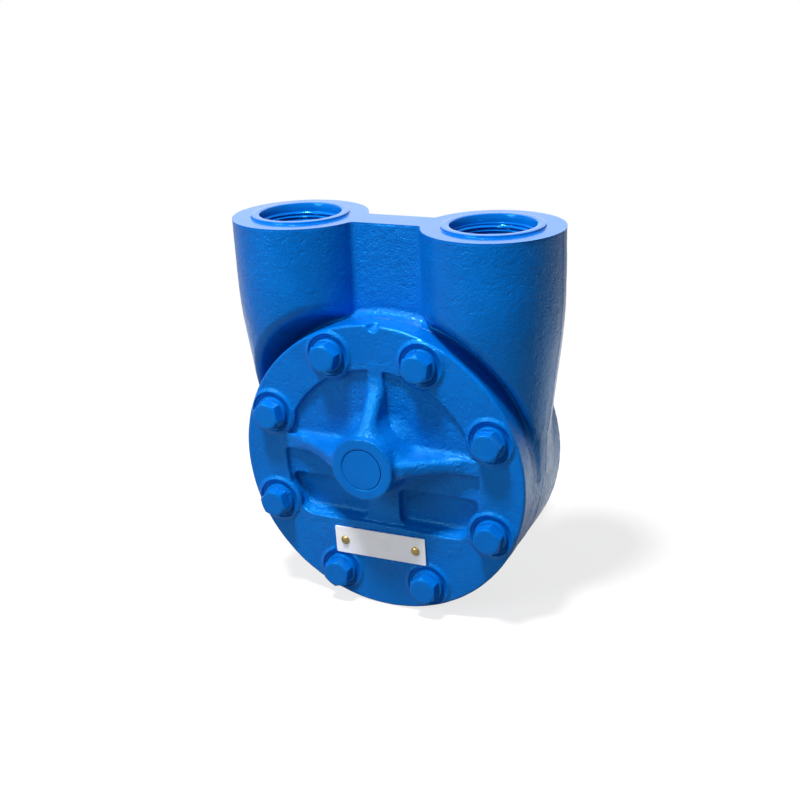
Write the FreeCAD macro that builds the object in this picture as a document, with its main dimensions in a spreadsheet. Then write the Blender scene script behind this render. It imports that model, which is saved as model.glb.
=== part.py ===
import FreeCAD, Part
import math
import os
import Sketcher

# Internal gear pump: a round casing with two threaded ports on top, a bolted
# front cover that carries the idler gear on a fixed pin, and a rotor on a shaft
# that leaves through a shaft seal and a ball bearing at the back.
#
# Frame, in millimetres: the origin is on the shaft axis at the rear mounting
# face, +Y runs out along the drive end of the shaft, +Z points up to the ports.
# The front cover faces -Y.

doc = FreeCAD.newDocument("gear_pump")
sheet = doc.addObject("Spreadsheet::Sheet", "dims")

# Driving dimensions: alias, value, what it is.
DIMENSIONS = [
    ("casing_depth", 54.0, "joint face to the back edge of the casing"),
    ("pad_rad", 64.0, "radius of the raised mounting pad"),
    ("pad_height", 10.0, "how far the pad stands behind the casing"),
    ("spigot_rad", 43.0, "locating spigot on the mounting pad"),
    ("spigot_len", 8.0, "length of the locating spigot"),
    ("tail_rad", 42.0, "rear hub that holds bushing and shaft seal"),
    ("tail_len", 38.0, "mounting face to the end of the rear hub"),
    ("chamber_rad", 58.0, "gear chamber"),
    ("casing_wall", 34.0, "chamber wall to the outside of casing and cover"),
    ("chamber_depth", 45.0, "depth of the gear chamber below the joint face"),
    ("mount_ring_rad", 52.5, "circle of the tapped mounting holes"),
    ("mount_count", 4, "tapped mounting holes"),
    ("mount_hole_rad", 5.0, "mounting hole, at the thread's outer radius"),
    ("mount_hole_depth", 14.0, "depth of a mounting hole"),
    ("port_half_gap", 61.5, "port axis to the middle plane"),
    ("port_inset", 43.7, "port axes in front of the mounting face"),
    ("port_top", 145.7, "height of the boss faces above the shaft axis"),
    ("boss_rad", 41.4, "port column"),
    ("boss_round", 2.0, "chamfer round the top of a port column"),
    ("column_foot_rad", 30.0, "port column where it dies into the casing"),
    ("taper_top", 95.0, "height where a port column starts to taper"),
    ("lip_rad", 29.6, "raised ring round a port"),
    ("lip_height", 1.4, "height of that ring"),
    ("counterbore_rad", 24.6, "plain mouth of a port"),
    ("counterbore_depth", 5.0, "depth of that mouth"),
    ("port_thread_rad", 24.1, "port thread at its outer radius"),
    ("port_thread_len", 24.0, "length of the port thread"),
    ("drill_rad", 20.0, "tapping drill under the thread"),
    ("drill_run", 8.7, "how far the drill goes on under the thread"),
    ("passage_rad", 14.0, "flow passage under the tapping drill"),
    ("passage_back", 3.7, "flow passages behind the port axes"),
    ("elbow_height", 62.0, "height of the elbow in a flow passage"),
    ("throat_rad", 17.0, "slanting passage into the chamber"),
    ("web_thick", 22.0, "web between the port columns"),
    ("relief_clear", 12.5, "relief outside the cover at the front of the columns"),
    ("relief_knee_clear", 8.5, "relief outside the cover a little further back"),
    ("relief_knee", 9.5, "that place in front of the joint face"),
    ("relief_back", 6.5, "where the relief ends behind the joint face"),
    ("relief_front", 36.0, "reach of the relief cut in front of the joint face"),
    ("cover_thick", 14.0, "thickness of the cover at its rim"),
    ("gasket_thick", 0.5, "cover gasket and housing gasket"),
    ("cover_round", 1.5, "chamfer round the front of the cover"),
    ("bolt_edge", 14.75, "circle of the cover bolts inside the edge of the cover"),
    ("bolt_count", 8, "cover bolts"),
    ("bolt_rad", 5.55, "cover bolt shank"),
    ("bolt_flats", 15.875, "cover bolt head across flats"),
    ("bolt_head", 7.2, "height of a cover bolt head"),
    ("bolt_len", 38.1, "cover bolt under its head"),
    ("bolt_clear", 0.4, "clearance round a bolt in the cover"),
    ("thread_clear", 0.05, "clearance round a screw in its tapped hole"),
    ("hole_spare", 4.0, "tapped hole beyond the end of its screw"),
    ("spot_rad", 10.9, "spotface under a bolt head"),
    ("spot_depth", 0.5, "depth of a spotface"),
    ("washer_rad", 9.9, "lock washer, outside"),
    ("washer_thick", 3.0, "lock washer"),
    ("washer_slit", 1.2, "slit in a lock washer"),
    ("pocket_inset", 13.25, "shallow recess in the cover face, inside the bolt circle"),
    ("pocket_depth", 3.0, "depth of that recess"),
    ("well_top", 11.0, "top of a deep pocket below the shaft axis"),
    ("well_side", 11.0, "inner end of a deep pocket from the middle plane"),
    ("well_reach", 60.5, "outer end of a deep pocket from the middle plane"),
    ("well_depth", 9.0, "depth of a deep pocket from the cover face"),
    ("nose_reach", 23.2, "cover face to the end of the pin boss"),
    ("nose_rad", 19.7, "end face of the pin boss"),
    ("nose_foot_rad", 26.0, "pin boss at the cover"),
    ("rib_thick", 10.4, "ribs of the cover"),
    ("rib_reach", 62.0, "side rib: pin axis to its outer end"),
    ("rib_knee_run", 38.6, "side rib: pin axis to its knee"),
    ("rib_knee_rise", 8.3, "side rib: height of its knee"),
    ("rib_top_run", 46.0, "top rib: pin axis to where it starts to rise"),
    ("rib_rise", 20.0, "height of the ribs at the pin boss"),
    ("notch_rad", 5.0, "half-round pry notch at the top of the cover"),
    ("rotor_teeth", 12, "fingers of the rotor"),
    ("idler_teeth", 9, "teeth of the idler"),
    ("pitch_inset", 13.0, "pitch circle of the rotor inside the chamber wall"),
    ("finger_rad", 5.85, "nose radius and half width of a rotor finger"),
    ("tooth_clear", 0.12, "gap between meshing flanks"),
    ("tooth_rise", 5.55, "idler tooth beyond its pitch circle"),
    ("rim_clear", 0.4, "rotor to chamber, radially"),
    ("end_clear", 0.15, "gears to the faces beside them"),
    ("rotor_plate", 8.0, "disc of the rotor"),
    ("rotor_boss_rad", 19.0, "hub behind the rotor disc"),
    ("rotor_boss_len", 9.0, "length of that hub"),
    ("crescent_clear", 0.3, "crescent to the gears beside it"),
    ("crescent_top", 5.0, "ends of the crescent below the shaft axis"),
    ("pin_rad", 12.2, "idler pin"),
    ("bushing_wall", 3.8, "wall of the idler bushing"),
    ("running_clear", 0.05, "radial clearance of a running bearing"),
    ("shaft_rad", 11.0, "shaft in its bushing and seal"),
    ("bearing_seat_rad", 10.0, "shaft in the ball bearing"),
    ("shaft_end_rad", 9.525, "drive end of the shaft"),
    ("shaft_end_len", 45.0, "length of the drive end"),
    ("shaft_chamfer", 1.0, "chamfer at the drive end"),
    ("keyway_wide", 4.76, "keyway of the drive end"),
    ("keyway_deep", 2.6, "depth of that keyway"),
    ("keyway_len", 32.0, "length of that keyway"),
    ("shaft_bush_wall", 4.5, "wall of the shaft bushing"),
    ("rotor_key_wide", 5.0, "key between rotor and shaft"),
    ("rotor_key_len", 14.0, "length of that key"),
    ("washer_gap", 0.5, "side play of the rotor thrust washer"),
    ("thrust_washer", 1.5, "rotor thrust washer"),
    ("shaft_bush_len", 18.0, "shaft bushing"),
    ("recess_clear", 1.0, "room round the rotor hub"),
    ("seal_rad", 22.0, "seal chamber"),
    ("collar_len", 4.0, "spring collar of the seal"),
    ("collar_rad", 18.0, "spring collar of the seal, outside"),
    ("spring_wire_rad", 0.9, "wire of the seal spring"),
    ("spring_len", 8.0, "working length of the seal spring"),
    ("spring_turns", 3.0, "turns of the seal spring"),
    ("bellows_wall", 2.4, "wall of the seal's rubber sleeve"),
    ("face_ring_len", 6.0, "rotating seal face"),
    ("face_ring_rad", 18.0, "rotating seal face, outside"),
    ("face_gap", 0.05, "film between the seal faces"),
    ("shaft_gap", 1.2, "room round the shaft where it only passes"),
    ("seat_rad", 17.0, "fixed seal face, outside"),
    ("seat_len", 7.0, "fixed seal face"),
    ("seat_ring_rad", 1.6, "section of the ring round the fixed face"),
    ("flange_rad", 42.0, "flange of the bearing housing"),
    ("flange_thick", 10.0, "thickness of that flange"),
    ("housing_rad", 29.5, "bearing housing behind its flange"),
    ("housing_screw_ring", 35.75, "circle of the housing screws"),
    ("housing_screw_count", 4, "housing screws"),
    ("housing_screw_rad", 3.0, "housing screw shank"),
    ("housing_screw_len", 20.0, "housing screw under its head"),
    ("housing_screw_head", 6.0, "height of a housing screw head"),
    ("housing_screw_head_rad", 5.0, "head of a housing screw"),
    ("socket_flats", 5.0, "hexagon socket of a housing screw"),
    ("socket_depth", 3.0, "depth of that socket"),
    ("bearing_rad", 23.5, "ball bearing, outside"),
    ("bearing_wide", 14.0, "ball bearing, width"),
    ("bearing_back", 2.5, "shoulder in front of the bearing"),
    ("race_rad", 16.75, "ball circle of the bearing"),
    ("ball_rad", 3.97, "bearing ball"),
    ("ball_count", 8, "bearing balls"),
    ("ball_clear", 0.06, "balls to their tracks and cage"),
    ("inner_land_rad", 14.3, "inner ring, outside"),
    ("outer_land_rad", 19.3, "outer ring, inside"),
    ("cage_thick", 1.6, "bearing cage, radially"),
    ("cage_wide", 10.4, "bearing cage, width"),
    ("ring_thick", 1.5, "snap rings"),
    ("ring_bite", 1.0, "depth of a snap ring in its groove"),
    ("ring_show", 2.2, "snap ring outside its groove"),
    ("ring_mouth", 50.0, "opening angle of a snap ring, in degrees"),
    ("dust_seal_len", 6.0, "dust seal"),
    ("dust_seal_gap", 3.0, "snap ring to the dust seal"),
    ("dust_lip_clear", 0.1, "dust seal lip to the shaft"),
    ("plate_wide", 61.0, "nameplate"),
    ("plate_high", 18.0, "nameplate"),
    ("plate_thick", 0.8, "nameplate"),
    ("plate_inset", 27.35, "middle of the nameplate inside the bolt circle"),
    ("plate_margin", 4.4, "nameplate to the flat lower edge of the recess"),
    ("plate_shift", 1.7, "nameplate to the left of the middle plane"),
    ("plate_tilt", 1.4, "nameplate out of level, in degrees"),
    ("rivet_half_gap", 23.9, "drive screws from the middle of the nameplate"),
    ("rivet_rad", 1.6, "drive screw shank"),
    ("rivet_len", 4.0, "drive screw shank behind the nameplate"),
    ("rivet_head_rad", 2.9, "drive screw head"),
    ("rivet_head", 1.5, "height of a drive screw head"),
]

for row, (alias, size, meaning) in enumerate(DIMENSIONS, start=1):
    sheet.set(f"A{row}", meaning)
    sheet.set(f"B{row}", str(size))
    sheet.setAlias(f"B{row}", alias)
doc.recompute()

# Places along the shaft axis that several pieces share, all from the sheet.
JOINT = "(-dims.pad_height - dims.casing_depth)"
COVER_BACK = f"({JOINT} - dims.gasket_thick)"
COVER_FRONT = f"({COVER_BACK} - dims.cover_thick)"
NOSE_END = f"({COVER_FRONT} - dims.nose_reach)"
CHAMBER_END = f"({JOINT} + dims.chamber_depth)"
SPOT_FLOOR = f"({COVER_FRONT} + dims.spot_depth)"
HEAD_SEAT = f"({SPOT_FLOOR} - dims.washer_thick)"
GEAR_FRONT = f"({COVER_BACK} + dims.end_clear)"
ROTOR_BACK = f"({CHAMBER_END} - dims.end_clear)"
PLATE_FRONT = f"({ROTOR_BACK} - dims.rotor_plate)"
GEAR_BACK = f"({PLATE_FRONT} - dims.end_clear)"
ROTOR_END = f"({ROTOR_BACK} + dims.rotor_boss_len)"
BUSH_START = f"({ROTOR_END} + dims.washer_gap + dims.thrust_washer)"
SEAL_START = f"({BUSH_START} + dims.shaft_bush_len)"
TAIL_END = "dims.tail_len"
HOUSING_FRONT = f"({TAIL_END} + dims.gasket_thick)"
SEAT_BACK = f"({HOUSING_FRONT} + dims.seat_len)"
SEAL_FACE = f"({HOUSING_FRONT} - dims.face_gap)"
BEARING_FRONT = f"({SEAT_BACK} + dims.bearing_back)"
BEARING_END = f"({BEARING_FRONT} + dims.bearing_wide)"
SEAL_SEAT = f"({BEARING_END} + dims.ring_thick + dims.dust_seal_gap)"
HOUSING_END = f"({SEAL_SEAT} + dims.dust_seal_len)"
SHAFT_SHOULDER = f"({HOUSING_END} + dims.ring_thick)"
SHAFT_END = f"({SHAFT_SHOULDER} + dims.shaft_end_len)"

CASING_RAD = "(dims.chamber_rad + dims.casing_wall)"
BOLT_RING = f"({CASING_RAD} - dims.bolt_edge)"
POCKET_RAD = f"({BOLT_RING} - dims.pocket_inset)"
PLATE_DROP = f"({BOLT_RING} - dims.plate_inset)"
POCKET_FLOOR = f"({PLATE_DROP} - dims.plate_high / 2 - dims.plate_margin)"
ROTOR_PITCH = "(dims.chamber_rad - dims.pitch_inset)"
IDLER_PITCH = f"({ROTOR_PITCH} * dims.idler_teeth / dims.rotor_teeth)"
IDLER_RISE = f"({ROTOR_PITCH} - {IDLER_PITCH})"
IDLER_TIP = f"({IDLER_PITCH} + dims.tooth_rise)"
ROTOR_RAD = "(dims.chamber_rad - dims.rim_clear)"
IDLER_BORE = "(dims.pin_rad + dims.running_clear + dims.bushing_wall)"
BUSH_RAD = "(dims.shaft_rad + dims.running_clear + dims.shaft_bush_wall)"
RECESS_RAD = "(dims.rotor_boss_rad + dims.recess_clear)"
TAP_RAD = "(dims.bolt_rad + dims.thread_clear)"
BOLT_HOLE_DEPTH = f"({HEAD_SEAT} + dims.bolt_len + dims.hole_spare - {JOINT})"
PORT_Y = "(-dims.port_inset)"
PASSAGE_Y = "(dims.passage_back - dims.port_inset)"
PORT_FACE = "(dims.port_top + dims.lip_height)"


def value(text):
    """The number that an expression over the sheet comes to."""
    result = sheet.evalExpression(text)
    return float(getattr(result, "Value", result))


def count(alias):
    return int(round(value(f"dims.{alias}")))


def put(thing, x="0", y="0", z="0", turn=None):
    """Place a thing where the sheet says; turn is an axis and an angle in degrees."""
    rotation = FreeCAD.Rotation()
    if turn is not None:
        rotation = FreeCAD.Rotation(turn[0], turn[1])
    base = FreeCAD.Vector(value(x), value(y), value(z))
    thing.Placement = FreeCAD.Placement(base, rotation)
    for axis, text in (("x", x), ("y", y), ("z", z)):
        if text != "0":
            thing.setExpression(f".Placement.Base.{axis}", text)
    return thing


X_AXIS = FreeCAD.Vector(1, 0, 0)
Y_AXIS = FreeCAD.Vector(0, 1, 0)
ALONG_Y = (X_AXIS, -90)


def cylinder(name, radius, length, x="0", y="0", z="0", turn=ALONG_Y):
    """A cylinder along +Y from its place, unless it is turned another way."""
    thing = doc.addObject("Part::Cylinder", name)
    thing.setExpression("Radius", radius)
    thing.setExpression("Height", length)
    return put(thing, x, y, z, turn)


def block(name, wide, deep, high, x, y, z):
    """A box from its corner of least x, y and z."""
    thing = doc.addObject("Part::Box", name)
    thing.setExpression("Length", wide)
    thing.setExpression("Width", deep)
    thing.setExpression("Height", high)
    return put(thing, x, y, z)


def fuse(name, things):
    result = doc.addObject("Part::MultiFuse", name)
    result.Shapes = things
    result.Refine = True
    return result


def cut(name, base, tool):
    result = doc.addObject("Part::Cut", name)
    result.Base = base
    result.Tool = tool
    result.Refine = True
    return result


def common(name, things):
    result = doc.addObject("Part::MultiCommon", name)
    result.Shapes = things
    result.Refine = True
    return result


def origin_plane(body, role):
    for feature in body.Origin.OriginFeatures:
        if feature.Role == role:
            return feature
    raise RuntimeError(f"{body.Name} has no {role}")


def outline(body, name, points, role="XY_Plane"):
    """A closed sketch of straight lines whose corners are tied to the sheet."""
    sketch = body.newObject("Sketcher::SketchObject", name)
    sketch.AttachmentSupport = (origin_plane(body, role), [""])
    sketch.MapMode = "FlatFace"
    corners = [FreeCAD.Vector(value(a), value(b), 0) for a, b in points]
    total = len(corners)
    for index in range(total):
        line = Part.LineSegment(corners[index], corners[(index + 1) % total])
        sketch.addGeometry(line, False)
    for index in range(total):
        follower = (index + 1) % total
        sketch.addConstraint(Sketcher.Constraint("Coincident", index, 2, follower, 1))
    for index, (across, along) in enumerate(points):
        tie(sketch, index, "DistanceX", across, -2)
        tie(sketch, index, "DistanceY", along, -1)
    return sketch


def tie(sketch, index, kind, text, zero_axis):
    """Hold one corner at its distance from the sketch's origin."""
    if text == "0":
        sketch.addConstraint(Sketcher.Constraint("PointOnObject", index, 1, zero_axis))
        return
    rule = Sketcher.Constraint(kind, -1, 1, index, 1, value(text))
    number = sketch.addConstraint(rule)
    sketch.setExpression(f"Constraints[{number}]", text)


def turned(name, points, x="0", y="0", z="0"):
    """A piece turned about its own Y axis from corners (radius, distance along)."""
    body = doc.addObject("PartDesign::Body", name)
    sketch = outline(body, f"{name}_profile", points)
    spin = body.newObject("PartDesign::Revolution", f"{name}_turned")
    spin.Profile = sketch
    spin.ReferenceAxis = (sketch, ["V_Axis"])
    spin.Angle = 360
    sketch.Visibility = False
    body.Tip = spin
    return put(body, x, y, z)


def tube(name, inner, outer, length, y, z="0"):
    points = [(inner, "0"), (outer, "0"), (outer, length), (inner, length)]
    return turned(name, points, y=y, z=z)


def ring_places(ring, number, first):
    """Expressions for x and z of places evenly spaced on a circle about the shaft axis."""
    step = 360.0 / number
    places = []
    for index in range(number):
        angle = first + index * step
        places.append((f"{ring} * cos({angle} deg)", f"{ring} * sin({angle} deg)"))
    return places


def solid_feature(name, shape, x="0", y="0", z="0", turn=None):
    """A piece whose shape is worked out from the sheet in this file."""
    feature = doc.addObject("Part::Feature", name)
    feature.Shape = shape
    return put(feature, x, y, z, turn)


def hexagon_prism(flats, height):
    """A hexagonal prism along +Y from the origin."""
    corner = flats / math.sqrt(3)
    points = []
    for index in range(7):
        angle = math.radians(60 * index)
        points.append(FreeCAD.Vector(corner * math.cos(angle), 0, corner * math.sin(angle)))
    face = Part.Face(Part.makePolygon(points))
    return face.extrude(FreeCAD.Vector(0, height, 0))


def pump_body():
    length = "dims.casing_depth"
    pad = "(dims.casing_depth + dims.pad_height)"
    casing = turned("casing", [
        ("0", "0"),
        (CASING_RAD, "0"),
        (CASING_RAD, length),
        ("dims.pad_rad", length),
        ("dims.pad_rad", pad),
        ("dims.spigot_rad", pad),
        ("dims.spigot_rad", f"{pad} + dims.spigot_len"),
        ("dims.tail_rad", f"{pad} + dims.spigot_len"),
        ("dims.tail_rad", f"{pad} + dims.tail_len"),
        ("0", f"{pad} + dims.tail_len"),
    ], y=JOINT)
    web = block("web", "2 * dims.port_half_gap", "dims.web_thick",
                "dims.port_top - dims.chamber_rad - 10", "-dims.port_half_gap",
                f"{PORT_Y} - dims.web_thick / 2", "dims.chamber_rad + 10")
    columns = [port_column("left_column", "-dims.port_half_gap"),
               port_column("right_column", "dims.port_half_gap")]
    cast = fuse("cast_outside", [casing, web] + columns)
    relieved = cut("cast_relieved", cast, cover_relief())
    hollow = fuse("body_hollows", [body_bore()] + port_hollows() + body_holes())
    body = cut("pump_body", relieved, hollow)
    return body


def port_column(name, x):
    """A port column: round above, tapering down into the side of the casing."""
    top = "dims.port_top"
    body = doc.addObject("PartDesign::Body", name)
    sketch = outline(body, f"{name}_profile", [
        ("0", "0"),
        ("dims.column_foot_rad", "0"),
        ("dims.boss_rad", "dims.taper_top"),
        ("dims.boss_rad", f"{top} - dims.boss_round"),
        ("dims.boss_rad - dims.boss_round", top),
        ("dims.lip_rad", top),
        ("dims.lip_rad", f"{top} + dims.lip_height"),
        ("0", f"{top} + dims.lip_height"),
    ], role="XZ_Plane")
    spin = body.newObject("PartDesign::Revolution", f"{name}_turned")
    spin.Profile = sketch
    spin.ReferenceAxis = (sketch, ["V_Axis"])
    spin.Angle = 360
    body.Tip = spin
    return put(body, x=x, y=PORT_Y)


def cover_relief():
    """What is cleared away so that the cover fits between the columns."""
    joint = "dims.relief_front"
    return turned("cover_relief", [
        ("0", "0"),
        (f"{CASING_RAD} + dims.relief_clear", "0"),
        (f"{CASING_RAD} + dims.relief_clear", f"{joint} - 2 * dims.relief_knee"),
        (f"{CASING_RAD} + dims.relief_knee_clear", f"{joint} - dims.relief_knee"),
        (CASING_RAD, f"{joint} + dims.relief_back"),
        (CASING_RAD, joint),
        ("0", joint),
    ], y=f"{JOINT} - dims.relief_front")


def body_bore():
    """Gear chamber, hub recess, bushing bore and seal chamber, on the shaft axis."""
    recess = f"{BUSH_START} - {JOINT}"
    bush = f"{SEAL_START} - {JOINT}"
    tail = f"{TAIL_END} - {JOINT}"
    return turned("body_bore", [
        ("0", "0"),
        ("dims.chamber_rad", "0"),
        ("dims.chamber_rad", "dims.chamber_depth"),
        (RECESS_RAD, "dims.chamber_depth"),
        (RECESS_RAD, recess),
        (BUSH_RAD, recess),
        (BUSH_RAD, bush),
        ("dims.seal_rad", bush),
        ("dims.seal_rad", tail),
        ("0", tail),
    ], y=JOINT)


def port_hollows():
    """Both ports: mouth, thread, drill, straight passage, elbow and slanting throat."""
    hollows = []
    slant = math.degrees(math.atan2(value("dims.port_half_gap"), value("dims.elbow_height")))
    for side, sign in (("left", "-"), ("right", "")):
        x = f"{sign}dims.port_half_gap"
        thread_top = f"{PORT_FACE} - dims.counterbore_depth"
        upright = (X_AXIS, 0)
        hollows.append(cylinder(f"{side}_mouth", "dims.counterbore_rad", "dims.counterbore_depth",
                                x, PORT_Y, thread_top, upright))
        thread_end = f"{thread_top} - dims.port_thread_len"
        hollows.append(cylinder(f"{side}_thread", "dims.port_thread_rad", "dims.port_thread_len",
                                x, PORT_Y, thread_end, upright))
        hollows.append(cylinder(f"{side}_drilling", "dims.drill_rad", "dims.drill_run",
                                x, PORT_Y, f"{thread_end} - dims.drill_run", upright))
        hollows.append(cylinder(f"{side}_passage", "dims.passage_rad",
                                f"{thread_end} - dims.drill_run - dims.elbow_height",
                                x, PASSAGE_Y, "dims.elbow_height", upright))
        elbow = doc.addObject("Part::Sphere", f"{side}_elbow")
        elbow.setExpression("Radius", "dims.passage_rad")
        hollows.append(put(elbow, x, PASSAGE_Y, "dims.elbow_height"))
        outwards = -Y_AXIS if sign else Y_AXIS
        throat = cylinder(f"{side}_throat", "dims.throat_rad",
                          "hypot(dims.port_half_gap; dims.elbow_height)",
                          y=PASSAGE_Y, turn=(outwards, slant))
        throat.setExpression(".Placement.Rotation.Angle",
                             "atan(dims.port_half_gap / dims.elbow_height)")
        hollows.append(throat)
    return hollows


def body_holes():
    """Tapped holes for the cover bolts, the housing screws and the mounting bolts."""
    holes = []
    number = count("bolt_count")
    for index, (x, z) in enumerate(ring_places(BOLT_RING, number, 180.0 / number)):
        holes.append(cylinder(f"bolt_tapping_{index + 1}", TAP_RAD, BOLT_HOLE_DEPTH, x, JOINT, z))
    number = count("mount_count")
    for index, (x, z) in enumerate(ring_places("dims.mount_ring_rad", number, 180.0 / number)):
        holes.append(cylinder(f"mount_tapping_{index + 1}", "dims.mount_hole_rad",
                              "dims.mount_hole_depth", x, "-dims.mount_hole_depth", z))
    number = count("housing_screw_count")
    depth = "dims.housing_screw_len - dims.flange_thick + dims.hole_spare"
    for index, (x, z) in enumerate(ring_places("dims.housing_screw_ring", number, 0.0)):
        holes.append(cylinder(f"screw_tapping_{index + 1}",
                              "dims.housing_screw_rad + dims.thread_clear", depth,
                              x, f"{TAIL_END} - ({depth})", z))
    return holes


def front_cover():
    disc = turned("cover_disc", [
        ("0", "0"),
        (f"{CASING_RAD} - dims.cover_round", "0"),
        (CASING_RAD, "dims.cover_round"),
        (CASING_RAD, "dims.cover_thick"),
        ("0", "dims.cover_thick"),
    ], y=COVER_FRONT)
    recess = common("cover_recess", [
        cylinder("recess_round", POCKET_RAD, "dims.pocket_depth", y=COVER_FRONT),
        block("recess_flat", f"2 * {POCKET_RAD}", "dims.pocket_depth",
              f"{POCKET_RAD} + {POCKET_FLOOR}", f"-{POCKET_RAD}", COVER_FRONT,
              f"-{POCKET_FLOOR}"),
    ])
    shallow = cut("cover_recessed", disc, recess)
    solid = fuse("cover_cast", [shallow, pin_boss(), crescent()] + cover_ribs())
    hollows = cover_wells() + cover_holes()
    return cut("front_cover", solid, fuse("cover_hollows", hollows))


def pin_boss():
    """The tapering boss round the idler pin, down to the bottom of the recess."""
    deep = "(dims.nose_reach + dims.pocket_depth)"
    return turned("pin_boss", [
        ("0", "0"),
        ("dims.nose_rad", "0"),
        ("dims.nose_foot_rad", deep),
        ("0", deep),
    ], y=NOSE_END, z=IDLER_RISE)


def cover_ribs():
    """Two side ribs and one top rib that rise from the rim to the pin boss."""
    root = "dims.pocket_depth"
    side = [
        ("0", "0"),
        ("dims.rib_reach", "0"),
        ("dims.rib_reach", root),
        ("dims.rib_knee_run", f"{root} + dims.rib_knee_rise"),
        ("dims.nose_rad", f"{root} + dims.rib_rise"),
        ("0", f"{root} + dims.rib_rise"),
    ]
    top = [
        ("0", "0"),
        (f"{POCKET_RAD} - {IDLER_RISE}", "0"),
        (f"{POCKET_RAD} - {IDLER_RISE}", root),
        ("dims.rib_top_run", root),
        ("dims.nose_rad", f"{root} + dims.rib_rise"),
        ("0", f"{root} + dims.rib_rise"),
    ]
    ribs = []
    for name, points, angle in (("right_rib", side, 0), ("top_rib", top, 90), ("left_rib", side, 180)):
        ribs.append(rib(name, points, angle))
    return ribs


def rib(name, points, angle):
    """A rib drawn as run and rise from the pin axis, at an angle round that axis."""
    body = doc.addObject("PartDesign::Body", name)
    sketch = outline(body, f"{name}_profile", points)
    pad = body.newObject("PartDesign::Pad", f"{name}_pad")
    pad.Profile = sketch
    pad.SideType = "Symmetric"
    pad.setExpression("Length", "dims.rib_thick")
    body.Tip = pad
    put(body, y=f"{COVER_FRONT} + dims.pocket_depth", z=IDLER_RISE)
    face_out = FreeCAD.Rotation(X_AXIS, 180)
    body.Placement.Rotation = FreeCAD.Rotation(Y_AXIS, -angle).multiply(face_out)
    return body


def crescent():
    """The crescent on the back of the cover that fills the gap between the gears."""
    length = f"{GEAR_BACK} - {COVER_BACK}"
    outer = cylinder("crescent_outer",
                     f"{ROTOR_PITCH} - dims.finger_rad - dims.crescent_clear",
                     length, y=COVER_BACK)
    inner = cylinder("crescent_inner", f"{IDLER_TIP} + dims.crescent_clear",
                     length, y=COVER_BACK, z=IDLER_RISE)
    below = block("crescent_below", "2 * dims.chamber_rad", length, "dims.chamber_rad",
                  "-dims.chamber_rad", COVER_BACK, "-dims.chamber_rad - dims.crescent_top")
    return common("crescent", [cut("crescent_ring", outer, inner), below])


def cover_wells():
    """The two deep pockets below the side ribs, and the notch at the top."""
    wells = []
    for side, corner in (("left", "-dims.well_reach"), ("right", "dims.well_side")):
        wells.append(common(f"{side}_well", [
            cylinder(f"{side}_well_round", POCKET_RAD, "dims.well_depth", y=COVER_FRONT),
            block(f"{side}_well_box", "dims.well_reach - dims.well_side", "dims.well_depth",
                  f"{POCKET_FLOOR} - dims.well_top", corner, COVER_FRONT, f"-{POCKET_FLOOR}"),
        ]))
    wells.append(cylinder("pry_notch", "dims.notch_rad", "dims.cover_thick", y=COVER_FRONT,
                          z=CASING_RAD))
    return wells


def cover_holes():
    """Bolt holes with their spotfaces, the pin bore and the drive screw holes."""
    pin_length = f"{COVER_BACK} - {NOSE_END}"
    holes = [cylinder("pin_bore", "dims.pin_rad", pin_length, y=NOSE_END, z=IDLER_RISE)]
    number = count("bolt_count")
    for index, (x, z) in enumerate(ring_places(BOLT_RING, number, 180.0 / number)):
        holes.append(cylinder(f"bolt_hole_{index + 1}", "dims.bolt_rad + dims.bolt_clear",
                              "dims.cover_thick", x, COVER_FRONT, z))
        holes.append(cylinder(f"spotface_{index + 1}", "dims.spot_rad", "dims.spot_depth",
                              x, COVER_FRONT, z))
    for index, (x, z) in enumerate(rivet_places()):
        holes.append(cylinder(f"rivet_hole_{index + 1}", "dims.rivet_rad", "dims.rivet_len",
                              x, COVER_FRONT, z))
    return holes


def rivet_places():
    """Places of the two drive screws, on the slightly tilted nameplate."""
    places = []
    for sign in ("-", "+"):
        x = f"-dims.plate_shift {sign} dims.rivet_half_gap * cos(dims.plate_tilt * 1 deg)"
        z = f"-{PLATE_DROP} {sign} dims.rivet_half_gap * sin(dims.plate_tilt * 1 deg)"
        places.append((x, z))
    return places


def cover_gasket():
    """A flat ring between cover and casing, cut out for the bolts."""
    ring = tube("gasket_ring", "dims.chamber_rad", CASING_RAD, "dims.gasket_thick", COVER_BACK)
    number = count("bolt_count")
    holes = []
    for index, (x, z) in enumerate(ring_places(BOLT_RING, number, 180.0 / number)):
        holes.append(cylinder(f"gasket_hole_{index + 1}", "dims.bolt_rad + dims.bolt_clear",
                              "dims.gasket_thick", x, COVER_BACK, z))
    return cut("cover_gasket", ring, fuse("gasket_holes", holes))


def copies(shape, ring, number, first):
    """The same solid at each place of a ring, as one group."""
    placed = []
    for x, z in ring_places(ring, number, first):
        copy = shape.copy()
        copy.translate(FreeCAD.Vector(value(x), 0, value(z)))
        placed.append(copy)
    return Part.makeCompound(placed)


def cover_bolts():
    """Hexagon bolts with chamfered heads, heads towards the front."""
    radius = value("dims.bolt_rad")
    head = value("dims.bolt_head")
    flats = value("dims.bolt_flats")
    crown = Part.makeCone(flats / 2, flats / 2 + head, head, FreeCAD.Vector(0, -head, 0), Y_AXIS)
    bolt_head = hexagon_prism(flats, head)
    bolt_head.translate(FreeCAD.Vector(0, -head, 0))
    shank = Part.makeCylinder(radius, value("dims.bolt_len"), FreeCAD.Vector(0, 0, 0), Y_AXIS)
    bolt = bolt_head.common(crown).fuse(shank).removeSplitter()
    number = count("bolt_count")
    group = copies(bolt, BOLT_RING, number, 180.0 / number)
    return solid_feature("cover_bolts", group, y=HEAD_SEAT)


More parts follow.
